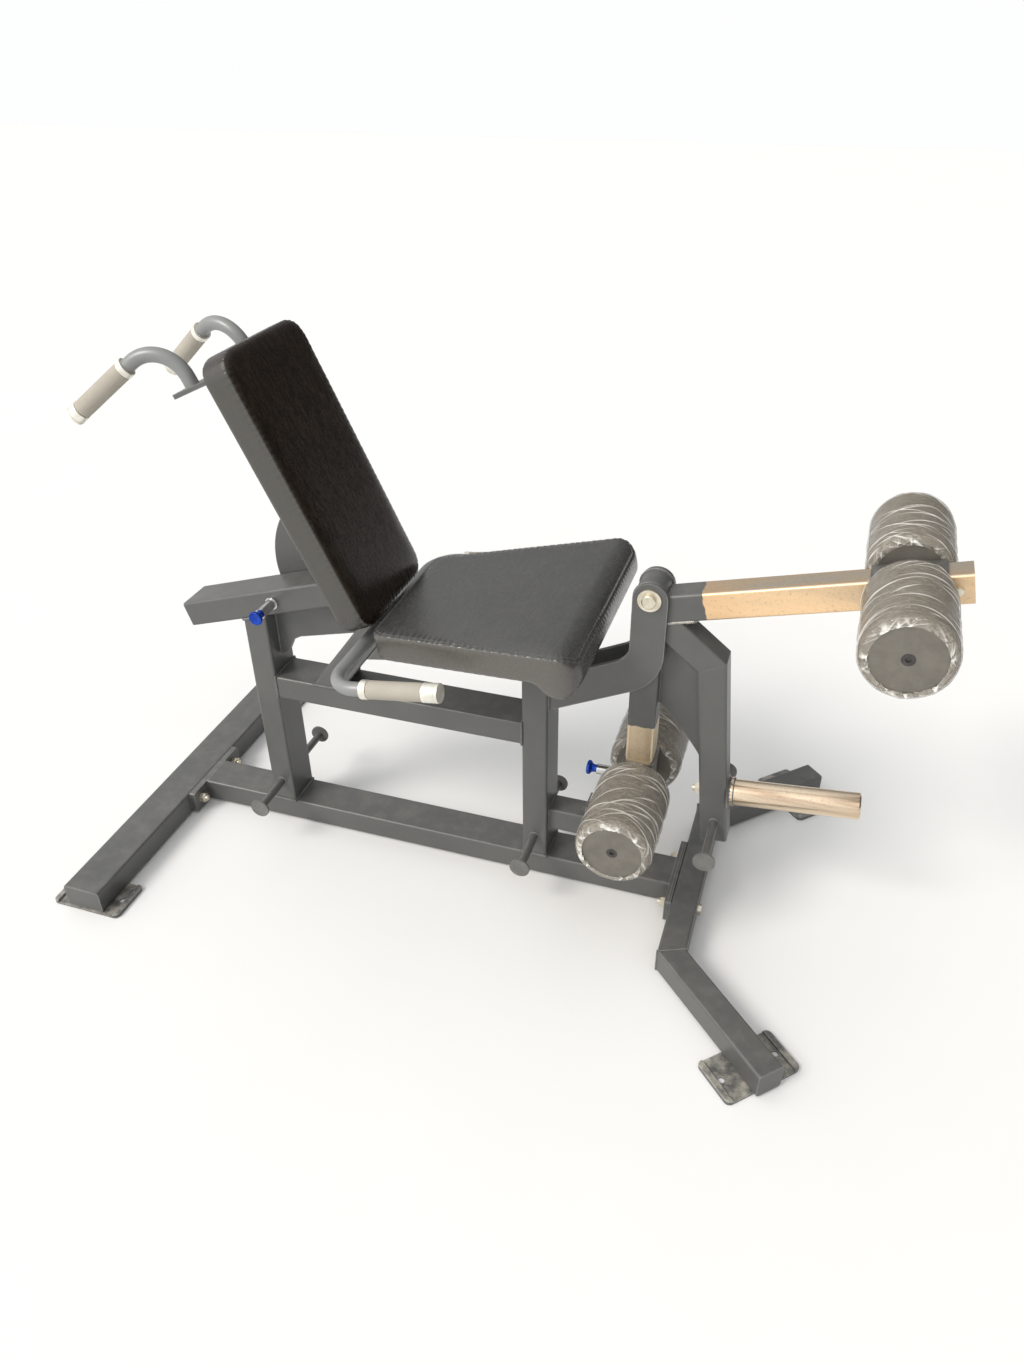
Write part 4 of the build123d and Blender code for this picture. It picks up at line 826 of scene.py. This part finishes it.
# cushions
def roundedOutline(corners, radii, count):
    # straight edges joined by arcs: each corner's centre lies on its bisector, one radius from both edges
    corners = np.asarray(corners, float)
    runs = []
    for k, radius in enumerate(radii):
        here = corners[k]
        back, ahead = unit(corners[k - 1] - here), unit(corners[(k + 1) % len(corners)] - here)
        half = np.arccos(np.clip(back @ ahead, -1, 1)) / 2
        centre = here + unit(back + ahead) * radius / sin(half)
        begin, end = here + back * radius / np.tan(half), here + ahead * radius / np.tan(half)
        first = atan2(*(begin - centre)[::-1])
        sweep = (atan2(*(end - centre)[::-1]) - first + pi) % (2 * pi) - pi
        angle = first + sweep * np.linspace(0, 1, 14)
        runs.append(centre + radius * np.stack([np.cos(angle), np.sin(angle)], -1))
    path = np.vstack(runs)
    flat = np.column_stack([path, np.zeros(len(path))])
    length = reachAlong(np.vstack([flat, flat[:1]]))[-1]
    return evenly(flat, length / count, True)[0][:count, :2]


class Pad:
    # a pad has its own grid: up the pad, across it, and out of its face
    def __init__(self, origin, up, out, outline, topAt, bottomAt):
        self.origin, self.up, self.out = np.asarray(origin), unit(up), unit(out)
        self.across = np.array([0.0, 1.0, 0.0])
        self.outline, self.topAt, self.bottomAt = outline, topAt, bottomAt

    def toWorld(self, local):
        return self.origin + local[..., :1] * self.up + local[..., 1:2] * self.across + local[..., 2:] * self.out

    def toLocal(self, points):
        away = points - self.origin
        return np.stack([away @ self.up, away @ self.across, away @ self.out], -1)

    def inset(self, amount):
        # the outline drawn in towards its middle, by the amount at its widest
        edge = self.outline - self.outline.mean(0)
        return edge * (1 - amount / np.abs(edge).max(0)) + self.outline.mean(0)

    def blank(self, shrink):
        # rings that shrink from the outline to the middle, over the face and again under it
        edge, centre = self.inset(shrink), self.outline.mean(0)
        share = np.linspace(0, 1, 40)[:, None, None]
        plan = centre + share * (edge - centre)[None]
        top, bottom = self.topAt(plan[..., 0]) - shrink, self.bottomAt(plan[..., 0]) + shrink * 0.2
        wall = np.linspace(0, 1, 12)[1:-1, None]
        height = top[-1] * (1 - wall) + bottom[-1] * wall
        side = np.concatenate([np.repeat(edge[None], len(wall), 0), height[..., None]], -1)
        over = np.concatenate([plan, top[..., None]], -1)
        under = np.concatenate([plan, bottom[..., None]], -1)[::-1]
        return gridShape(self.toWorld(np.concatenate([over, side, under])), wrapCols=True)

    def seam(self, inset, drop):
        # the outline moved in by the inset, on the face or a drop below it
        edge = self.inset(inset)
        return np.column_stack([edge, self.topAt(edge[:, 0]) - drop])


def writePoints(mesh, points):
    mesh.vertices.foreach_set("co", points.reshape(-1))
    mesh.update()


def evaluated(piece):
    return piece.evaluated_get(bpy.context.evaluated_depsgraph_get())


def applyModifiers(piece):
    bpy.context.view_layer.update()
    result = bpy.data.meshes.new_from_object(evaluated(piece))
    old = piece.data
    piece.modifiers.clear()
    piece.data = result
    bpy.data.meshes.remove(old)


def evenOut(mesh, values, rounds):
    # each point takes the mean of its neighbours' values, several times over
    edges = np.zeros(len(mesh.edges) * 2, np.int32)
    mesh.edges.foreach_get("vertices", edges)
    first, second = edges.reshape(-1, 2).T
    count = len(mesh.vertices)
    near = np.bincount(first, minlength=count) + np.bincount(second, minlength=count)
    flat = values.reshape(count, -1)
    for _ in range(rounds):
        total = [np.bincount(first, column[second], count) + np.bincount(second, column[first], count)
                 for column in flat.T]
        flat = np.stack(total, -1) / near[:, None]
    return flat.reshape(values.shape)


cushion = {"voxel": 4.2, "evenRounds": 5, "pressure": 4.0, "quality": 4, "stiffness": 25, "bending": 2,
           "steps": 20, "cap": 4.5, "flatBand": 12.0, "swellRounds": 8, "shrink": 1.0, "groove": 1.5,
           "grooveWide": 2.4, "pucker": 0.3, "puckerWide": 11.0, "outlinePoints": 260}


def inflate(piece, pad):
    # even remesh in the pad's own frame, then cloth blown up from inside. A point moves outwards by
    # cap x d / (cap + d), never inwards and not at all on the board side, and the moves are evened out
    writePoints(piece.data, pad.toLocal(pointsOf(piece.data)))
    remesh = piece.modifiers.new("even", "REMESH")
    remesh.mode, remesh.voxel_size = "VOXEL", cushion["voxel"] * mm
    applyModifiers(piece)
    writePoints(piece.data, evenOut(piece.data, pointsOf(piece.data), cushion["evenRounds"]))
    rest, normals = pointsOf(piece.data), normalsOf(piece.data)
    cloth = piece.modifiers.new("cloth", "CLOTH").settings
    cloth.use_pressure = True
    cloth.uniform_pressure_force = cushion["pressure"]
    cloth.effector_weights.gravity = 0
    cloth.quality = cushion["quality"]
    cloth.tension_stiffness = cloth.compression_stiffness = cushion["stiffness"]
    cloth.bending_stiffness = cushion["bending"]
    for step in range(1, cushion["steps"] + 1):
        bpy.context.scene.frame_set(step)
    blown = evaluated(piece).to_mesh()
    swell = np.clip(((pointsOf(blown) - rest) * normals).sum(1), 0, None)
    piece.modifiers.clear()
    bpy.context.scene.frame_set(1)
    cap = cushion["cap"] * mm
    height = rest[:, 2] - pad.bottomAt(rest[:, 0])
    swell = swell * cap / (cap + swell + 1e-9) * np.clip(height / (cushion["flatBand"] * mm), 0, 1)
    writePoints(piece.data, rest + normals * evenOut(piece.data, swell, cushion["swellRounds"])[:, None])
    smooth = piece.modifiers.new("rounder", "SUBSURF")
    smooth.levels = smooth.render_levels = 1
    applyModifiers(piece)
    writePoints(piece.data, pad.toWorld(pointsOf(piece.data)))


def nearestOn(points, line):
    # distance from each point to the nearest point of a line, and that point's number, a block at a time
    blocks = [np.linalg.norm(block[:, None] - line[None], axis=2) for block in np.array_split(points, 60)]
    return (np.concatenate([block.min(1) for block in blocks]),
            np.concatenate([block.argmin(1) for block in blocks]))


def pressSeam(piece, pad, seam):
    # a groove exp(-(d/w)^2) deep along the seam, with small puckers that fade away from it
    points, normals = pointsOf(piece.data), normalsOf(piece.data)
    line, at = evenly(seam, 2 * mm, True)
    distance, nearest = nearestOn(pad.toLocal(points), line)
    along = at[nearest]
    groove = cushion["groove"] * mm * np.exp(-(distance / (cushion["grooveWide"] * mm)) ** 2)
    ripple = cushion["pucker"] * mm * np.sin(along / (1.9 * mm) + 1.5 * np.sin(along / (21 * mm)))
    ripple = ripple * np.exp(-(distance / (cushion["puckerWide"] * mm)) ** 2)
    writePoints(piece.data, points + normals * (ripple - groove)[:, None])


stitch = {"length": 3.6, "gap": 5.2, "radius": 0.55, "lift": 0.15, "arch": 0.35, "sides": 6}


def stitchShape(piece, pad, seams):
    # each stitch is a short spindle lying on the skin along the seam
    skin = BVHTree.FromObject(piece, bpy.context.evaluated_depsgraph_get())
    share = np.array([-1, -0.8, 0, 0.8, 1.0])
    fat = np.array([0.15, 0.8, 1.0, 0.8, 0.15])
    rows, sides = len(share), stitch["sides"]
    turn = fullTurn(sides)
    # quads round one stitch, then two more to close each end
    ends = np.array([[0, 1, 2, 3], [0, 3, 4, 5], [24, 27, 26, 25], [24, 29, 28, 27]])
    cell = np.concatenate([gridFaces(rows, sides, wrapCols=True), ends])
    half, thick = stitch["length"] * mm / 2, stitch["radius"] * mm
    shapes = []
    for seam in seams:
        fine, at = evenly(pad.toWorld(seam), stitch["gap"] * mm, True)
        ahead = np.roll(fine, -1, 0) - np.roll(fine, 1, 0)
        found = [skin.find_nearest(Vector(place)) for place in fine]
        place, up = np.array([f[0] for f in found]), np.array([f[1] for f in found])
        ahead = unitRows(ahead - (ahead * up).sum(1)[:, None] * up)
        side = np.cross(up, ahead)
        arch = up[:, None] * (stitch["arch"] * mm * (1 - share ** 2))[None, :, None]
        place = place + up * stitch["lift"] * mm
        spine = place[:, None] + ahead[:, None] * (share * half)[None, :, None] + arch
        ring = np.cos(turn)[:, None] * up[:, None, None] + np.sin(turn)[:, None] * side[:, None, None]
        points = spine[:, :, None] + thick * fat[None, :, None, None] * ring
        faces = (np.arange(len(fine)) * rows * sides)[:, None, None] + cell[None]
        shapes.append((points.reshape(-1, 3), faces.reshape(-1, 4)))
    return joined(shapes)


def makeCushion(name, body, pad, vinyl, seam, threads):
    piece = makePiece(name + "_cushion", pad.blank(cushion["shrink"] * mm), body, vinyl)
    inflate(piece, pad)
    pressSeam(piece, pad, seam)
    makePiece(name + "_stitching", stitchShape(piece, pad, threads), body, threadBlack)
    return piece


seatPad = {"tilt": 9.5, "thick": 56.0, "noseAt": 352.0, "noseRadius": 40.0, "rear": 153.5, "front": 233.0,
           "rearRound": 26.0, "frontRound": 34.0, "seamIn": 6.0, "threadsIn": (3.6, 8.6)}
backPad = {"lean": 24.5, "thick": 56.0, "length": 514.0, "half": 129.0, "round": 38.0,
           "seamIn": 0.5, "seamDown": 5.0, "threadsDown": (2.8, 7.8)}


def makeSeat():
    tilt = radians(seatPad["tilt"])
    thick, noseAt, noseRadius, rear, front = (seatPad[key] * mm
                                              for key in ("thick", "noseAt", "noseRadius", "rear", "front"))
    low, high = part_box("seat_pad")
    origin = np.array([low[0] + thick * sin(tilt), 0, low[2]])
    length, centre = noseAt + noseRadius, thick - noseRadius
    radii = [seatPad[key] * mm for key in ("rearRound", "frontRound", "frontRound", "rearRound")]
    corners = [(0, -rear), (length, -front), (length, front), (0, rear)]

    def noseHeight(s):
        # a half circle over the last stretch of the seat
        return np.sqrt(np.clip(noseRadius ** 2 - np.clip(s - noseAt, -noseRadius, noseRadius) ** 2, 0, None))

    pad = Pad(origin, (cos(tilt), 0, sin(tilt)), (-sin(tilt), 0, cos(tilt)),
              roundedOutline(corners, radii, cushion["outlinePoints"]),
              lambda s: np.where(s < noseAt, thick, centre + noseHeight(s)),
              lambda s: np.minimum(0.0, centre - noseHeight(s)))
    threads = [pad.seam(inset * mm, 0.0) for inset in seatPad["threadsIn"]]
    seat = makeCushion("seat", "base", pad, seatVinyl, pad.seam(seatPad["seamIn"] * mm, 0.0), threads)
    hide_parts("seat_pad")


def makeBack():
    lean = radians(backPad["lean"])
    thick, length, half, bend = (backPad[key] * mm for key in ("thick", "length", "half", "round"))
    low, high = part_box("back_pad")
    origin = np.array([high[0], 0, high[2] - length * cos(lean)])
    corners = [(0, -half), (length, -half), (length, half), (0, half)]
    pad = Pad(origin, (-sin(lean), 0, cos(lean)), (cos(lean), 0, sin(lean)),
              roundedOutline(corners, [bend] * 4, cushion["outlinePoints"]),
              lambda s: np.zeros_like(s), lambda s: np.full_like(s, -thick))
    seam = pad.seam(backPad["seamIn"] * mm, backPad["seamDown"] * mm)
    threads = [pad.seam(0.0, drop * mm) for drop in backPad["threadsDown"]]
    back = makeCushion("back", "back", pad, backVinyl, seam, threads)
    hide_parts("back_pad")


makeSeat()
makeBack()
print("cushions made")


# floor, lights and camera
def makeStage():
    material, tree, sockets = newMaterial("paleFloor", Roughness=0.9)
    place = objectPlace(tree)
    colour = blendColour(tree, noise(tree, place, 3.0), (0.78, 0.78, 0.775), (0.81, 0.81, 0.805))
    feed(tree, sockets, {"Base Color": colour})
    half = 12.0
    mesh = bpy.data.meshes.new("floor")
    corners = [(-half, -half, 0), (half, -half, 0), (half, half, 0), (-half, half, 0)]
    mesh.from_pydata(corners, [], [(0, 1, 2, 3)])
    mesh.materials.append(material)
    addObject("floor", mesh)


cameraView = {"place": (0.5603, -1.499, 1.5019), "heading": -0.3292, "pitch": 0.593, "roll": -0.014,
              "focalShare": 1026.5 / 1024}


def makeCamera():
    # heading turns from +Y towards +X, pitch looks down, and the focal length is a share of the picture's width
    heading, pitch, roll = (cameraView[key] for key in ("heading", "pitch", "roll"))
    forward = np.array([sin(heading) * cos(pitch), cos(heading) * cos(pitch), -sin(pitch)])
    level = np.array([cos(heading), -sin(heading), 0])
    over = np.cross(level, forward)
    right = cos(roll) * level + sin(roll) * over
    up = -sin(roll) * level + cos(roll) * over
    data = bpy.data.cameras.new("camera")
    data.sensor_fit, data.sensor_width = "HORIZONTAL", 36.0
    data.lens = 36.0 * cameraView["focalShare"]
    data.clip_start, data.clip_end = 0.05, 100.0
    camera = addObject("camera", data)
    turned = Matrix([[right[k], up[k], -forward[k]] for k in range(3)]).to_4x4()
    camera.matrix_world = Matrix.Translation(cameraView["place"]) @ turned
    bpy.context.scene.camera = camera


def addSun(way, strength, spread, colour):
    light = bpy.data.lights.new("sun", "SUN")
    light.energy, light.angle, light.color = strength, spread, colour
    addObject("sun", light).rotation_euler = Vector(way).to_track_quat("Z", "Y").to_euler()


def makeSky():
    # bright towards the key light and overhead, dim on the far side; plain white where it is seen directly
    world = bpy.data.worlds.new("studio")
    world.use_nodes = True
    tree = world.node_tree
    way = addNode(tree, "TexCoord").outputs["Generated"]
    facing = vectorCalc(tree, "DOT_PRODUCT", way, sky["key"], "Value")
    glow = rising(tree, sky["dim"], sky["bright"] - sky["dim"], ramp(tree, facing, -0.6, 1.0))
    seen = addNode(tree, "LightPath").outputs["Is Camera Ray"]
    strength = calc(tree, "ADD", times(tree, glow, flipped(tree, seen)), seen)
    background = tree.nodes["Background"]
    background.inputs["Color"].default_value = (*sky["colour"], 1)
    tree.links.new(strength, background.inputs["Strength"])
    bpy.context.scene.world = world


sky = {"key": (-0.56, -0.50, 0.66), "dim": 0.08, "bright": 1.3, "colour": (0.985, 0.99, 0.99)}
makeStage()
makeCamera()
makeSky()
addSun((-0.50, -0.55, 0.68), 1.9, radians(22), (1.0, 0.95, 0.88))
bpy.context.scene.view_settings.view_transform = "Standard"
print("stage set")
